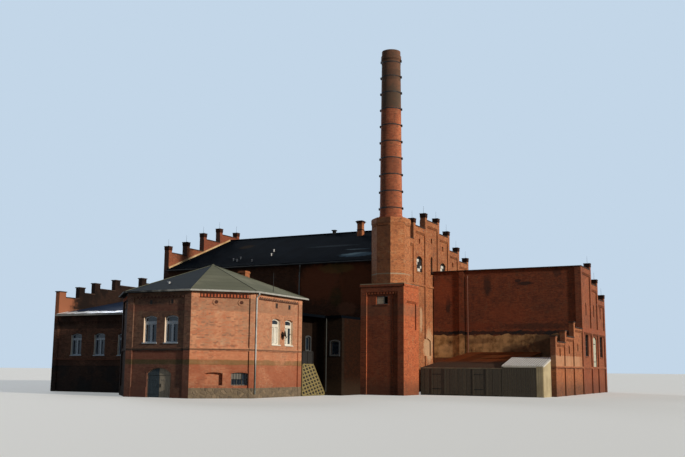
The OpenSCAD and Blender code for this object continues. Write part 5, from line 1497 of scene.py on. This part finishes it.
@dataclass
class Sheds:
    """The long shed and the side shed in the yard."""

    long: Face = Face(3.3, -1.43, 0)
    side: Face = Face(9.52, -1.43, 0)
    side_right: Face = Face(12.52, -1.43, 90)
    long_length: float = 6.22
    eave: float = 1.95
    side_eave: float = 2.13

    def build(self, nodes: Nodes) -> None:
        """Dresses the sheds' solids and adds boards, doors and fascias."""
        dress(nodes, {
            "long_shed_front": LONG_PLASTER, "long_shed_roof": RUST_FELT, "side_shed_walls": SHED_PLASTER,
            "side_shed_roof": WHITE_SHEET,
        })
        boards, fascia, iron = Bench(), Bench(), Bench()
        wide = (self.long_length - 0.06) / 19
        for i in range(19):
            u = 0.03 + wide * i
            boards.box(self.long, (u, u + wide - 0.012), (-0.022 - 0.006 * (i % 2), 0.0),
                       (0.06 + 0.02 * (i % 3), self.eave - 0.01))
        for u in (0.9, 1.9, 4.1, 5.1):
            boards.box(self.long, about(u, 0.05), (-0.05, 0.0), (0.05, self.eave - 0.02))
        boards.piece("long_shed_boards", SHED_BOARDS, Slot.TIMBER)
        for u0 in (0.9, 4.1):
            for z in (0.45, 1.5):
                iron.box(self.long, (u0 - 0.02, u0 + 0.75), (-0.04, -0.028), (z, z + 0.05))
            iron.rod(self.long, ((u0 + 0.88, -0.06, 0.98), (u0 + 0.88, -0.06, 1.12)), 0.012, 8)
        iron.piece("shed_door_straps", DARK_IRON, Slot.STEEL)
        fascia.box(self.long, (0.0, self.long_length), (-0.03, 0.0), (self.eave, self.eave + 0.055))
        fascia.piece("long_shed_fascia", CONCRETE, Slot.TIMBER)
        self.side_shed()

    def side_shed(self) -> None:
        """Dark boards over a low border, a corner post, pale corner boards that paint the light on the front's right
        end, and the roof's edge boards.
        """
        boards, posts, edge = Bench(), Bench(), Bench()
        wide = 2.35 / 14
        for i in range(14):
            u = 0.14 + wide * i
            boards.box(self.side, (u, u + wide - 0.012), (-0.024, 0.0), (0.34, self.side_eave - 0.09))
        boards.piece("side_shed_boards", SHED_BOARDS, Slot.TIMBER)
        posts.box(self.side, (0.0, 0.13), (-0.03, 0.0), (0.02, self.side_eave - 0.02))
        posts.box(self.side, (0.13, 2.5), (-0.035, 0.0), (0.02, 0.33))
        posts.piece("side_shed_posts", SHED_BOARDS, Slot.TIMBER)
        # Painted light: the corner boards are pale for the light on the front's right end.
        plain = Bench()
        for i in range(3):
            plain.box(self.side, (2.5 + 0.16 * i, 2.65 + 0.16 * i), (-0.03 - 0.004 * i, 0.0),
                      (0.02, self.side_eave - 0.02))
        plain.piece("side_shed_corner_boards_painted_light", SHED_PLASTER, Slot.PLASTER)
        edge.box(self.side, (0.0, 3.0), (-0.025, 0.0), (self.side_eave - 0.07, self.side_eave + 0.05))
        verge = ((0.0, 2.06), (2.04, 2.552), (2.04, 2.622), (0.0, 2.13))
        edge.sheet([self.side_right.at(u, -0.001, z) for u, z in verge], 0.022)
        edge.piece("side_shed_edge_boards", WHITE_PAINT, Slot.PALE_WOOD)


@dataclass
class Pavilion:
    """The eight-sided pavilion with its double door."""

    front: Face = Face(-9.14, -19.67, 0)
    corner: Face = Face(-4.27, -19.67, 45)
    right: Face = Face(-1.54, -16.94, 90)
    left: Face = Face(-11.87, -11.0, -90)
    left_corner: Face = Face(-11.87, -16.94, -45)
    front_l: float = 4.87
    side_l: float = 5.94
    wall: float = 0.42
    eave: float = 6.45
    over: float = 0.28
    peak: Triple = (-6.705, -14.15, 8.75)
    doorway: Opening = Opening(2.58, 0.0, 1.86, 1.8, 0.33)
    cellar_light: Opening = Opening(3.09, 0.78, 1.05, 0.78, 0.06)
    window: Opening = Opening(0.0, 3.33, 1.02, 1.68)
    front_us: Pair = (1.76, 3.40)
    right_us: Pair = (2.73, 4.35)
    ornament_us: Pair = (1.5, 3.07)
    vent_us: Pair = (1.78, 3.41)
    leaf_d: Pair = (0.09, 0.14)
    leaf_w: float = 0.845
    leaf_h: float = 1.34

    def build(self, nodes: Nodes) -> None:
        """Dresses the pavilion's solids and adds its pieces."""
        dress(nodes, {
            "pavilion_front_left": PAVILION_SHADE, "pavilion_front_right": PAVILION_SHADE,
            "pavilion_front_upper": PAVILION_SHADE, "pavilion_right_corner": PAVILION_BRICK,
            "pavilion_left_corner": PAVILION_DEEP_SHADE, "pavilion_right_wall": PAVILION_BRICK,
            "pavilion_left_wall": PAVILION_DEEP_SHADE, "pavilion_back_wall": PAVILION_SHADE,
            "pavilion_floor": FLOOR_BOARDS, "pavilion_roof": GREEN_FELT, "pavilion_flue": MAIN_BRICK,
            "pavilion_glass": GLASS, "door_frame": DOOR_PALE, "door_leaf_left": DOOR_BLUE,
            "door_leaf_right": DOOR_PALE,
        })
        self.windows()
        self.reveals()
        self.brick_trim()
        self.cornice()
        self.ornaments()
        self.basement()
        self.roof_trim()
        self.fittings()
        self.door_leaf(-1, Body.LEFT_LEAF, DOOR_BLUE, "left")
        self.door_leaf(1, Body.RIGHT_LEAF, DOOR_PALE, "right")
        self.door_head()

    def front_holes(self) -> list[Opening]:
        """The upper windows of the front."""
        return [replace(self.window, u=u) for u in self.front_us]

    def side_holes(self) -> list[Opening]:
        """The upper windows of the right wall."""
        return [replace(self.window, u=u) for u in self.right_us]

    def windows(self) -> None:
        """Casements with a stout post and transom under an arched top light."""
        pale, white, cloth = Bench(), Bench(), Bench()
        front = Casement(0.085, 0.03, rows=1, mullion=0.17, rail=(1.13, 1.34))
        side = Casement(0.10, 0.03, rows=1, mullion=0.15, rail=(1.13, 1.33))
        d = self.wall / 2 - 0.07
        for hole in self.front_holes():
            front.lay(pale, self.front, hole, d)
            pale.box(self.front, about(hole.u, 0.56), (-0.05, 0.14), (hole.sill - 0.05, hole.sill + 0.015))
        for i, hole in enumerate(self.side_holes()):
            side.lay(white, self.right, hole, d)
            white.box(self.right, about(hole.u, 0.55), (-0.05, 0.14), (hole.sill - 0.055, hole.sill + 0.015))
            self.curtain(cloth, (hole.u - 0.4, hole.u - 0.09), (hole.sill + 0.12, hole.sill + 1.12))
            wide, high = (0.4, 1.12) if i == 0 else (0.2, 0.6)
            self.curtain(cloth, (hole.u + 0.09, hole.u + wide), (hole.sill + 0.12, hole.sill + high))
        pale.piece("front_casements", PALE_PAINT, Slot.PALE_WOOD, bevel=0.006)
        white.piece("side_casements", WHITE_PAINT, Slot.PALE_WOOD, bevel=0.006)
        cloth.piece("window_curtains", CLOTH, Slot.PALE_WOOD)

    def curtain(self, bench: Bench, u: Pair, z: Pair) -> None:
        """Hangs a curtain in soft upright folds of about 80 mm behind a light of the right wall.

        Args:
            bench: Bench that gets the cloth.
            u: Its two edges along the wall.
            z: Its hem and its top.
        """
        count, middle = 24, self.wall / 2 - 0.012
        wave = [(u[0] + (u[1] - u[0]) * i / count,
                 middle + 0.005 * math.sin(math.tau * (u[1] - u[0]) * i / count / 0.08)) for i in range(count + 1)]
        plan = wave + [(a, d + 0.003) for a, d in reversed(wave)]
        bench.block([self.right.at(a, d, z[0]) for a, d in plan], [self.right.at(a, d, z[1]) for a, d in plan])

    def reveals(self) -> None:
        """Lime wash on the windows' upright reveals, where the low light falls on it."""
        bench = Bench()
        for face, holes in ((self.front, self.front_holes()), (self.right, self.side_holes())):
            for hole in holes:
                top = hole.springing
                for s in (-1, 1):
                    u = hole.u + s * (hole.width / 2 - 0.006)
                    bench.box(face, about(u, 0.006), (0.004, self.wall / 2 - 0.07), (hole.sill + 0.015, top))
        bench.piece("limewashed_reveals", REVEAL_LIME, Slot.PLASTER)

    def brick_trim(self) -> None:
        """Arches over the windows, the double door and the basement lights."""
        shade, light = Bench(), Bench()
        for hole in self.front_holes():
            BrickHead(0.25, 0.02).arch(shade, self.front, hole)
        for hole in self.side_holes():
            BrickHead(0.25, 0.02).arch(light, self.right, hole)
        BrickHead(0.25, 0.012).arch(shade, self.front, self.doorway)
        for u in (1.51, self.cellar_light.u):
            BrickHead(0.13, 0.012).arch(light, self.corner, replace(self.cellar_light, u=u))
        shade.piece("front_window_arches", PAVILION_SHADE, Slot.BRICK)
        light.piece("side_window_arches", PAVILION_BRICK, Slot.BRICK)

    def cornice(self) -> None:
        """Red teeth under the eave of the slanted walls and plain teeth on the others, each row over a dark plate
        that paints the shade between the teeth.
        """
        dark, red, plain = Bench(), Bench(), Bench()
        # Painted shade: the dark plates show in the gaps between the teeth.
        for face in (self.corner, self.left_corner):
            dark.box(face, (0.5, 3.56), (-0.072, -0.05), (6.1, 6.36))
            teeth(red, face, (0.5, 3.56), (-0.115, -0.06), (6.13, 6.31), 0.2)
        for face, length in ((self.front, self.front_l), (self.right, self.side_l), (self.left, self.side_l)):
            dark.box(face, (0.5, length - 0.5), (-0.068, -0.05), (6.1, 6.2))
            teeth(plain, face, (0.5, length - 0.5), (-0.095, -0.06), (6.12, 6.27), 0.27)
        dark.piece("cornice_painted_gap_shade", DARK_BRICK, Slot.BRICK)
        red.piece("cornice_red_teeth", RED_TEETH, Slot.BRICK)
        plain.piece("cornice_plain_teeth", PAVILION_SHADE, Slot.BRICK)

    def ornaments(self) -> None:
        """Round brick ornaments on the slanted walls, and framed vents over the windows."""
        rings, hubs, frames, holes = Bench(), Bench(), Bench(), Bench()
        rim = ((0.21, -0.01), (0.21, 0.035), (0.17, 0.05), (0.115, 0.04), (0.105, -0.01))
        for face in (self.corner, self.left_corner):
            for spot in [face.at(u, 0.0, 5.83) for u in self.ornament_us]:
                rings.lathe(spot, face.out, rim, 20)
                hubs.lathe(spot, face.out, ((0.0, 0.012), (0.1, 0.01), (0.105, -0.01), (0.0, -0.01)))
        for face, spots in ((self.front, self.vent_us), (self.right, self.right_us)):
            for u in spots:
                frames.ring(face, corners(about(u, 0.14), (5.68, 6.02)),
                            corners(about(u, 0.095), (5.725, 5.975)), (-0.02, 0.02))
                for k in range(4):
                    z = 5.735 + 0.06 * k
                    holes.box(face, about(u, 0.1), (-0.012, 0.01), (z, z + 0.035))
                holes.box(face, about(u, 0.1), (-0.003, 0.012), (5.72, 5.98))
        rings.piece("round_ornaments", PAVILION_BRICK, Slot.BRICK)
        hubs.piece("ornament_hubs", DARK_BRICK, Slot.BRICK)
        frames.piece("vent_frames", PAVILION_SHADE, Slot.BRICK)
        holes.piece("vent_slats", DARK_IRON, Slot.STEEL)

    def basement(self) -> None:
        """Bars, a frame and a board in the open basement light."""
        bars, board = Bench(), Bench()
        hole = self.cellar_light
        for k in range(5):
            u = hole.u - 0.35 + 0.175 * k
            bars.rod(self.corner, ((u, 0.12, hole.sill + 0.01), (u, 0.12, hole.sill + 0.72)), 0.011, 8)
        bars.rod(self.corner, ((hole.u - 0.52, 0.12, 1.14), (hole.u + 0.52, 0.12, 1.14)), 0.011, 8)
        sash = Casement(0.05, 0.03, 0.05, 3, 1)
        sash.lay(board, self.corner, hole, self.wall / 2 - 0.055)
        board.box(self.corner, (hole.u - 0.48, hole.u + 0.1), (0.165, 0.185), (hole.sill + 0.38, hole.sill + 0.72))
        bars.piece("basement_bars", DARK_IRON, Slot.STEEL)
        board.piece("basement_window_frame", GREY_PAINT, Slot.TIMBER)

    def eave_corners(self, out: float) -> list[Pair]:
        """Plan corners of the walls moved outwards, front left first and anticlockwise."""
        m = out * math.tan(math.radians(22.5))
        east, west = self.right.x + out, self.left.x - out
        south, north = self.front.y - out, self.left.y + out
        return [
            (self.front.x - m, south), (self.corner.x + m, south), (east, self.right.y - m),
            (east, north), (west, north), (west, self.left_corner.y - m),
        ]

    def roof_trim(self) -> None:
        """Rolls on the hips, the cap of the point, a roof vent, and the gutter's hooks and rolled edge."""
        rolls, spike, vent, hooks, lip = Bench(), Bench(), Bench(), Bench(), Bench()
        top = SITE + Vector(self.peak)
        for x, y in self.eave_corners(self.over - 0.01):
            foot = SITE + Vector((x, y, self.eave + 0.135))
            rolls.tube([foot, foot.lerp(top, 0.5) + UP * 0.005, top + UP * 0.005], 0.02, 8, 0.8)
        spike.lathe(top, UP, ((0.3, -0.13), (0.12, 0.0), (0.05, 0.05), (0.0, 0.06)))
        vent.rod(TAPE, ((-6.92, -18.52, 6.7), (-6.92, -18.52, 7.16)), 0.06)
        cowl = ((0.0, 0.07), (0.09, 0.03), (0.1, 0.0), (0.0, -0.01))
        vent.lathe(TAPE.at(-6.92, -18.52, 7.17), UP, cowl, 12)
        plan = self.eave_corners(self.over)
        for i in range(6):
            a, b = (Vector((*plan[k % 6], 0.0)) for k in (i, i + 1))
            run = (b - a).normalized()
            out = Vector((run.y, -run.x, 0.0))
            count = max(3, round((b - a).length / 0.8))
            for k in range(1, count):
                foot = SITE + a.lerp(b, k / count) + UP * self.eave
                low = [foot + run * s + out * d
                       for s, d in ((-0.012, -0.14), (0.012, -0.14), (0.012, 0.105), (-0.012, 0.105))]
                hooks.block([p + UP * -0.012 for p in low], [p + UP * 0.006 for p in low])
            lip.tube([SITE + v + out * 0.097 + UP * (self.eave + 0.105) for v in (a, b)], 0.012, 8)
        rolls.piece("pavilion_hip_rolls", GREEN_FELT, Slot.GREEN_FELT)
        spike.piece("roof_point_cap", GREEN_FELT, Slot.GREEN_FELT)
        vent.piece("pavilion_roof_vent", BRIGHT_ZINC, Slot.STEEL)
        hooks.piece("pavilion_gutter_hooks", DARK_IRON, Slot.STEEL)
        lip.piece("gutter_rolled_edge", GUTTER_ZINC, Slot.STEEL)

    def fittings(self) -> None:
        """The dark dish between the side windows, its arm, and the slim mast behind the eave."""
        dish, iron = Bench(), Bench()
        centre = self.right.at(3.5, -0.24, 4.02)
        tilt = Vector((0.86, 0.45, 0.25)).normalized()
        bowl = ((0.0, -0.05), (0.1, -0.035), (0.19, 0.0), (0.25, 0.04))
        shell = ((0.255, 0.03), (0.19, -0.02), (0.1, -0.055), (0.0, -0.07))
        dish.lathe(centre, tilt, bowl + shell, 28)
        iron.tube([self.right.at(3.54, 0.0, 3.95), self.right.at(3.54, -0.14, 3.95), centre - tilt * 0.06], 0.02, 10)
        iron.box(self.right, (3.46, 3.62), (-0.012, 0.0), (3.87, 4.03))
        iron.tube([centre - UP * 0.26, centre + tilt * 0.3 - UP * 0.08], 0.01, 8)
        iron.tube([centre + tilt * 0.27 - UP * 0.1, centre + tilt * 0.35 - UP * 0.06], 0.028, 10)
        iron.rod(TAPE, ((-1.7, -14.4, 6.6), (-1.7, -14.4, 8.0)), 0.022, 8, 0.6)
        for z, w in ((7.6, 0.26), (7.75, 0.2), (7.9, 0.15)):
            iron.rod(TAPE, ((-1.7 - w, -14.4, z), (-1.7 + w, -14.4, z)), 0.007, 6)
        dish.piece("wall_dish", DARK_IRON, Slot.STEEL)
        iron.piece("dish_arm_and_mast", DARK_IRON, Slot.STEEL)

    def door_leaf(self, side: int, body: Body, finish: Finish, name: str) -> None:
        """Boards, ledges and ironwork of one leaf, in its closed place.

        Args:
            side: -1 for the left leaf, 1 for the right one.
            body: The leaf's body.
            finish: Finish of its boards.
            name: The side's name.
        """
        boards, ledges, iron = Bench(), Bench(), Bench()
        hinge = self.doorway.u + side * 0.85
        span = [hinge - side * s for s in (0.006, self.leaf_w - 0.006)]
        a, b = min(span), max(span)
        d0, d1 = self.leaf_d
        for i in range(6):
            u = (a + (b - a) * i / 6 + 0.004, a + (b - a) * (i + 1) / 6 - 0.004)
            boards.box(self.front, u, (d0 - 0.012, d0 + 0.002), (0.02 + 0.008 * (i * side % 3), self.leaf_h - 0.01))
        for z in (0.2, 1.05):
            ledges.box(self.front, (a + 0.03, b - 0.03), (d1, d1 + 0.028), (z, z + 0.12))
        low, high = (hinge - side * 0.1, 0.32), (hinge - side * 0.74, 1.05)
        brace = [low, (low[0] - side * 0.12, low[1]), high, (high[0] + side * 0.12, high[1])]
        ledges.plate(self.front, brace[::-side], (d1, d1 + 0.026))
        meet = hinge - side * (self.leaf_w - 0.09)
        if side > 0:
            iron.box(self.front, about(meet, 0.035), (d0 - 0.022, d0 - 0.01), (0.62, 0.84))
            grip = ((0.02, 0.79), (0.06, 0.78), (0.06, 0.68), (0.02, 0.67))
            iron.rod(self.front, [(meet, d0 - out, z) for out, z in grip], 0.009, 8)
        else:
            iron.rod(self.front, ((meet, d1 + 0.02, 0.02), (meet, d1 + 0.02, 0.3)), 0.011, 8)
            iron.box(self.front, about(meet, 0.03), (d1 - 0.002, d1 + 0.01), (0.12, 0.2))
        for z in (0.23, 1.08):
            for k in range(3):
                u = hinge - side * (0.12 + 0.2 * k)
                iron.lathe(self.front.at(u, d0 - 0.026, z), self.front.out,
                           ((0.0, 0.008), (0.012, 0.004), (0.014, -0.004), (0.0, -0.004)), 10)
        boards.piece(name + "_leaf_boards", finish, Slot.TIMBER, body, bevel=0.003)
        ledges.piece(name + "_leaf_ledges", OLD_BOARDS, Slot.TIMBER, body, bevel=0.004)
        iron.piece(name + "_leaf_ironwork", DARK_IRON, Slot.STEEL, body)

    def door_head(self) -> None:
        """Boards over the leaves: blue-grey in the left half of the arch, pale in the right one."""
        arch, d = self.doorway, self.leaf_d[0]
        for side, finish, name in ((-1, DOOR_BLUE, "left"), (1, DOOR_PALE, "right")):
            bench = Bench()
            for i in range(7):
                u0, u1 = sorted(arch.u + side * (0.01 + 0.125 * (i + k)) for k in (0.0, 0.95))
                top = min(arch.head(u0, 0.02), arch.head(u1, 0.02))
                if top - 1.37 > 0.03:
                    bench.box(self.front, (u0, u1), (d - 0.016, d + 0.002), (1.375, top))
            bench.box(self.front, about(arch.u + side * 0.4525, 0.4475), (d - 0.03, d + 0.002), (1.355, 1.4))
            bench.piece(name + "_door_head_boards", finish, Slot.TIMBER, bevel=0.003)


@dataclass
class LowRange:
    """The low range with its lean-to roof, the flat-roofed link and the outside stair."""

    front: Face = Face(-21.47, -13.5, 0)
    link_side: Face = Face(-2.54, -11.0, 90)
    link_front: Face = Face(-2.54, -7.6, 0)
    wall: float = 0.38
    eave_z: float = 5.76
    slope: float = 0.2
    window: Opening = Opening(0.0, 2.66, 1.0, 1.6)
    window_pitch: float = 2.235
    link_lights: tuple[Opening, Opening] = (
        Opening(1.85, 2.8, 0.65, 0.98, 0.06), Opening(2.83, 3.093, 0.65, 0.98, 0.06),
    )
    landing: float = 2.16
    cheek_out: float = 1.1
    lath_pitch: float = 0.34
    lath_w: float = 0.15

    def build(self, nodes: Nodes) -> None:
        """Dresses the solids and adds the pieces."""
        # The stair's beams take dark boards partly as painted shade, so that they read as shade through the cheek's
        # holes.
        dress(nodes, {
            "range_front_wall": RANGE_BRICK, "range_left_wall": RANGE_BRICK, "range_cross_wall": RANGE_BRICK,
            "range_roof": RANGE_FELT, "range_copings": CAPPING, "range_glass": GLASS,
            "link_side_wall": LINK_BRICK, "link_front_wall": LINK_BRICK, "link_end_wall": LINK_END_BRICK,
            "link_roof": HALL_FELT, "link_door": DARK_BOARDS, "stair_treads": OLD_BOARDS,
            "stair_beams": DARK_BOARDS, "stair_lattice": CHEEK_PAINT, "stair_rail": DARK_BOARDS,
            "gutters": GUTTER_ZINC, "downpipes": ZINC,
        })
        self.windows()
        self.eave_sheets()
        self.link()
        self.gutter_hooks()

    def windows(self) -> None:
        """The front's casements with white reveals that paint the light on them, arches and sills, its teeth under
        the eave and its corner pier.
        """
        wood, bricks, lime = Bench(), Bench(), Bench()
        sash = Casement(0.08, 0.03, rows=1, mullion=0.14, rail=(1.1, 1.26))
        for k in (1, 2, 3):
            hole = replace(self.window, u=k * self.window_pitch)
            sash.lay(wood, self.front, hole, self.wall / 2 - 0.065)
            wood.box(self.front, about(hole.u, 0.55), (-0.05, 0.12), (hole.sill - 0.05, hole.sill + 0.015))
            BrickHead(0.25, 0.02).arch(bricks, self.front, hole)
            # Painted light: the left reveals are white to stand for the low light falling on them.
            u = hole.u - hole.width / 2 + 0.018
            lime.box(self.front, about(u, 0.018), (0.004, self.wall / 2 - 0.065), (hole.sill + 0.015, hole.springing))
        teeth(bricks, self.front, (0.5, 9.0), (-0.045, 0.0), (4.98, 5.12), 0.27)
        for z0, z1, proud in ((0.02, 0.6, 0.09), (0.6, 4.95, 0.06), (4.95, 5.14, 0.085), (5.14, 5.4, 0.06)):
            bricks.box(self.front, (0.0, 0.46), (-proud, 0.01), (z0, z1))
        wood.piece("range_casements", PALE_PAINT, Slot.PALE_WOOD, bevel=0.006)
        bricks.piece("range_brick_trim", RANGE_BRICK, Slot.BRICK)
        lime.piece("range_reveals_painted_light", WHITE_PAINT, Slot.PLASTER)

    def roof_point(self, x: float, y: float, lift: float) -> Vector:
        """A point over the top of the lean-to roof."""
        return TAPE.at(x, y, self.eave_z + self.slope * (y - self.front.y) + lift)

    def eave_sheets(self) -> None:
        """Bright zinc sheets on the lowest strip of the lean-to roof, laid with lapped seams."""
        sheets, seams = Bench(), Bench()
        x, low, i = -21.05, -13.79, 0
        while x < -12.4:
            wide = min(0.98, -12.32 - x)
            reach = (1.15, 1.0, 1.25, 1.1, 0.95, 1.2, 1.05, 1.3, 1.1, 1.0)[i % 10]
            plan = ((x, low), (x + wide, low), (x + wide, low + reach), (x, low + reach * 0.95))
            sheets.sheet([self.roof_point(px, py, 0.004) for px, py in plan], 0.012)
            seams.tube([self.roof_point(x, y, 0.022) for y in (low, low + reach)], 0.016, 8)
            x, i = x + wide + 0.01, i + 1
        sheets.piece("eave_zinc_sheets", BRIGHT_ZINC, Slot.STEEL)
        seams.piece("eave_sheet_seams", BRIGHT_ZINC, Slot.STEEL)

    def link(self) -> None:
        """Frames and sills of the link's windows, its door's ledges, straps and handle, and the landing's rail."""
        wood, iron, posts = Bench(), Bench(), Bench()
        for face, hole in zip((self.link_front, self.link_side), self.link_lights):
            Casement(frame=0.075, bar=0.03, columns=1, rows=1).lay(wood, face, hole, 0.1)
            wood.box(face, about(hole.u, 0.4), (-0.05, 0.12), (hole.sill - 0.06, hole.sill + 0.012))
            wood.ring(face, hole.outline(-0.09), hole.outline(0.0), (-0.02, 0.01))
        door, foot = self.link_side, self.landing
        for z in (0.3, 1.55):
            iron.box(door, (0.45, 1.1), (0.178, 0.19), (foot + z, foot + z + 0.05))
        iron.rod(door, [(u, d, foot + 1.02) for u, d in ((1.12, 0.19), (1.12, 0.13), (1.0, 0.13))], 0.01, 8)
        for z in (0.05, 0.95, 1.8):
            wood.box(door, (0.42, 1.18), (0.172, 0.19), (foot + z, foot + z + 0.12))
        wood.piece("link_window_frames", DIM_PAINT, Slot.TIMBER)
        iron.piece("link_door_ironwork", DARK_IRON, Slot.STEEL)
        for u in (0.12, 0.85, 1.55):
            posts.box(door, about(u, 0.04), (-1.125, -1.085), (foot, foot + 0.86))
        posts.box(door, (0.08, 1.6), (-1.125, -1.015), (foot + 0.8, foot + 0.86))
        posts.piece("landing_rail_posts", DARK_BOARDS, Slot.TIMBER, bevel=0.004)
        self.lattice()

    def lattice(self) -> None:
        """Pale laths crossed over a dark plate on the stair's cheek, in rows that follow the stair's fall; the plate
        paints the shade in the holes.
        """
        outline = [Vector(p) for p in ((0.075, 0.02), (3.3, 0.02), (3.3, 0.17), (1.615, 2.145), (0.075, 2.145))]
        out = -(self.cheek_out + 0.001)
        back, laths = Bench(), Bench()
        # Painted shade: the dark plate behind the laths stands for the shade in the lattice's holes.
        back.plate(self.link_side, [tuple(p) for p in outline], (out - 0.006, out))
        back.piece("cheek_backing_painted_shade", DARK_BOARDS, Slot.TIMBER)
        edges = list(zip(outline, outline[1:] + outline[:1]))
        fall = (outline[2] - outline[3]).normalized()
        rows = ((fall, self.lath_pitch, self.lath_w), (Vector((1.0, 0.18)).normalized(), 0.25, 0.09))
        for k, (way, pitch, wide) in enumerate(rows):
            across = Vector((-way.y, way.x))
            for i in range(-16, 18):
                start = across * (pitch * i) + Vector((1.6, 2.1))
                cuts = []
                for a, b in edges:
                    side = (b - a).normalized()
                    slope = way.x * side.y - way.y * side.x
                    if abs(slope) > 1e-6:
                        reach = ((a.x - start.x) * side.y - (a.y - start.y) * side.x) / slope
                        along = (start + way * reach - a).dot(side)
                        if -1e-6 <= along <= (b - a).length + 1e-6:
                            cuts.append(reach)
                if len(cuts) >= 2 and max(cuts) - min(cuts) > 0.12:
                    p, q = start + way * (min(cuts) + 0.03), start + way * (max(cuts) - 0.03)
                    half = across * (wide / 2)
                    low = out - 0.006 - 0.014 * k
                    ring = [(max(v.x, 0.08), max(v.y, 0.03)) for v in (p - half, q - half, q + half, p + half)]
                    laths.plate(self.link_side, ring, (low - 0.014, low))
        for a, b in edges:
            run = (b - a).normalized()
            inward = Vector((-run.y, run.x)) * 0.06
            laths.plate(self.link_side, [tuple(a), tuple(b), tuple(b + inward), tuple(a + inward)],
                        (out - 0.04, out - 0.004))
        laths.piece("cheek_laths", LATH_PAINT, Slot.PALE_WOOD)

    def gutter_hooks(self) -> None:
        """Hooks under the lean-to roof's gutter."""
        hooks = Bench()
        z = 5.56
        for i in range(11):
            u = 0.6 + 0.8 * i
            hooks.box(self.front, about(u, 0.012), (-0.42, -0.26), (z - 0.012, z))
        hooks.piece("range_gutter_hooks", DARK_IRON, Slot.STEEL)


@dataclass
class Studio:
    """Camera of the photograph, a pale floor and soft light from the right."""

    where: Vector = field(default_factory=lambda: Vector((28.20, -63.28, 1.83)))
    heading: float = -27.15
    pitch: float = 8.9
    roll: float = 0.54
    focal_px: float = 897.5
    picture_px: float = 685.0

    def camera(self) -> None:
        """Sets the camera up at the photograph's viewpoint."""
        h, p, r = (math.radians(v) for v in (self.heading, self.pitch, self.roll))
        ahead = Vector((math.sin(h) * math.cos(p), math.cos(h) * math.cos(p), math.sin(p)))
        side = Vector((math.cos(h), -math.sin(h), 0.0))
        up = Vector((-math.sin(h) * math.sin(p), -math.cos(h) * math.sin(p), math.cos(p)))
        right = side * math.cos(r) + up * math.sin(r)
        top = -side * math.sin(r) + up * math.cos(r)
        data = bpy.data.cameras.new("photo_camera")
        data.sensor_fit, data.sensor_width = "HORIZONTAL", 36.0
        data.lens = self.focal_px * 36.0 / self.picture_px
        data.clip_end = 2000.0
        eye = bpy.data.objects.new("photo_camera", data)
        turn = Matrix((right, top, -ahead)).transposed().to_4x4()
        eye.matrix_world = Matrix.Translation(self.where) @ turn
        bpy.context.scene.collection.objects.link(eye)
        bpy.context.scene.camera = eye

    def floor(self) -> None:
        """Lays the plain pale floor."""
        bench, sides = bmesh.new(), 64
        centre, east, north = UP * -0.002, Vector((1, 0, 0)), Vector((0, 1, 0))
        rings = [[bench.verts.new(p) for p in circle(centre, east, north, r, sides)] for r in (60.0, 900.0)]
        bench.faces.new(rings[0])
        for k in range(sides):
            j = (k + 1) % sides
            bench.faces.new((rings[0][k], rings[0][j], rings[1][j], rings[1][k]))
        bmesh.ops.recalc_face_normals(bench, faces=bench.faces)
        data = bpy.data.meshes.new("studio_floor")
        bench.to_mesh(data)
        bench.free()
        made = bpy.data.objects.new("studio_floor", data)
        bpy.context.scene.collection.objects.link(made)
        skin = bpy.data.materials.new("studio_floor")
        skin.use_nodes = True
        tree = skin.node_tree
        tree.nodes.clear()
        ray = put(tree, "LightPath")
        shader, dim = (
            put(tree, "BsdfPrincipled", {"Base Color": linear(tone), "Roughness": 0.9, "Specular IOR Level": 0.2})
            for tone in ("#c9c8c2", "#7a7874"))
        glow = put(tree, "Emission", {"Color": linear("#dfe2e2"), "Strength": 0.35})
        both = put(tree, "AddShader", {0: shader.outputs[0], 1: glow.outputs[0]})
        pick = put(tree, "MixShader", {0: ray.outputs["Is Camera Ray"], 1: dim.outputs[0], 2: both.outputs[0]})
        put(tree, "OutputMaterial", {"Surface": pick.outputs[0]})
        data.materials.append(skin)

    def light(self) -> None:
        """Hangs a low soft key on the right, a weak one behind, and an even sky."""
        for name, azimuth, height, strength, spread, tint in (
            ("key_light", -8.5, 17.0, 3.0, 3.0, "#fff1df"), ("back_light", 140.0, 25.0, 0.9, 20.0, "#eef3ff"),
        ):
            data = bpy.data.lights.new(name, "SUN")
            data.energy, data.angle, data.color = strength, math.radians(spread), linear(tint)[:3]
            lamp = bpy.data.objects.new(name, data)
            a, e = math.radians(azimuth), math.radians(height)
            source = Vector((math.cos(a) * math.cos(e), math.sin(a) * math.cos(e), math.sin(e)))
            lamp.rotation_euler = source.to_track_quat("Z", "Y").to_euler()
            lamp.location = source * 60
            bpy.context.scene.collection.objects.link(lamp)
        world = bpy.data.worlds.new("studio_sky")
        bpy.context.scene.world = world
        world.use_nodes = True
        tree = world.node_tree
        tree.nodes.clear()
        ray = put(tree, "LightPath")
        seen = Field(tree, ray.outputs["Is Camera Ray"])
        for name in ("Is Glossy Ray", "Is Transmission Ray"):
            seen = seen.step("MAXIMUM", ray.outputs[name])
        fill = put(tree, "Background", {"Color": linear("#dfe8f2"), "Strength": 0.15})
        back = put(tree, "Background", {"Color": linear("#c3d6e8"), "Strength": 1.0})
        pick = put(tree, "MixShader", {0: seen, 1: fill.outputs[0], 2: back.outputs[0]})
        put(tree, "OutputWorld", {"Surface": pick.outputs[0]})
        bpy.context.scene.view_settings.view_transform = "Standard"


def main() -> None:
    """Builds the whole scene in order."""
    logging.basicConfig(level=logging.INFO, format="%(name)s: %(message)s")
    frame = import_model()
    studio = Studio()
    studio.camera()
    studio.floor()
    studio.light()
    for part in (Hall(), Chimney(), Tower(), Wing(), Sheds(), Pavilion(), LowRange()):
        part.build(frame["nodes"])
        log.info("%s is done", type(part).__name__)


if __name__ == "__main__":
    main()
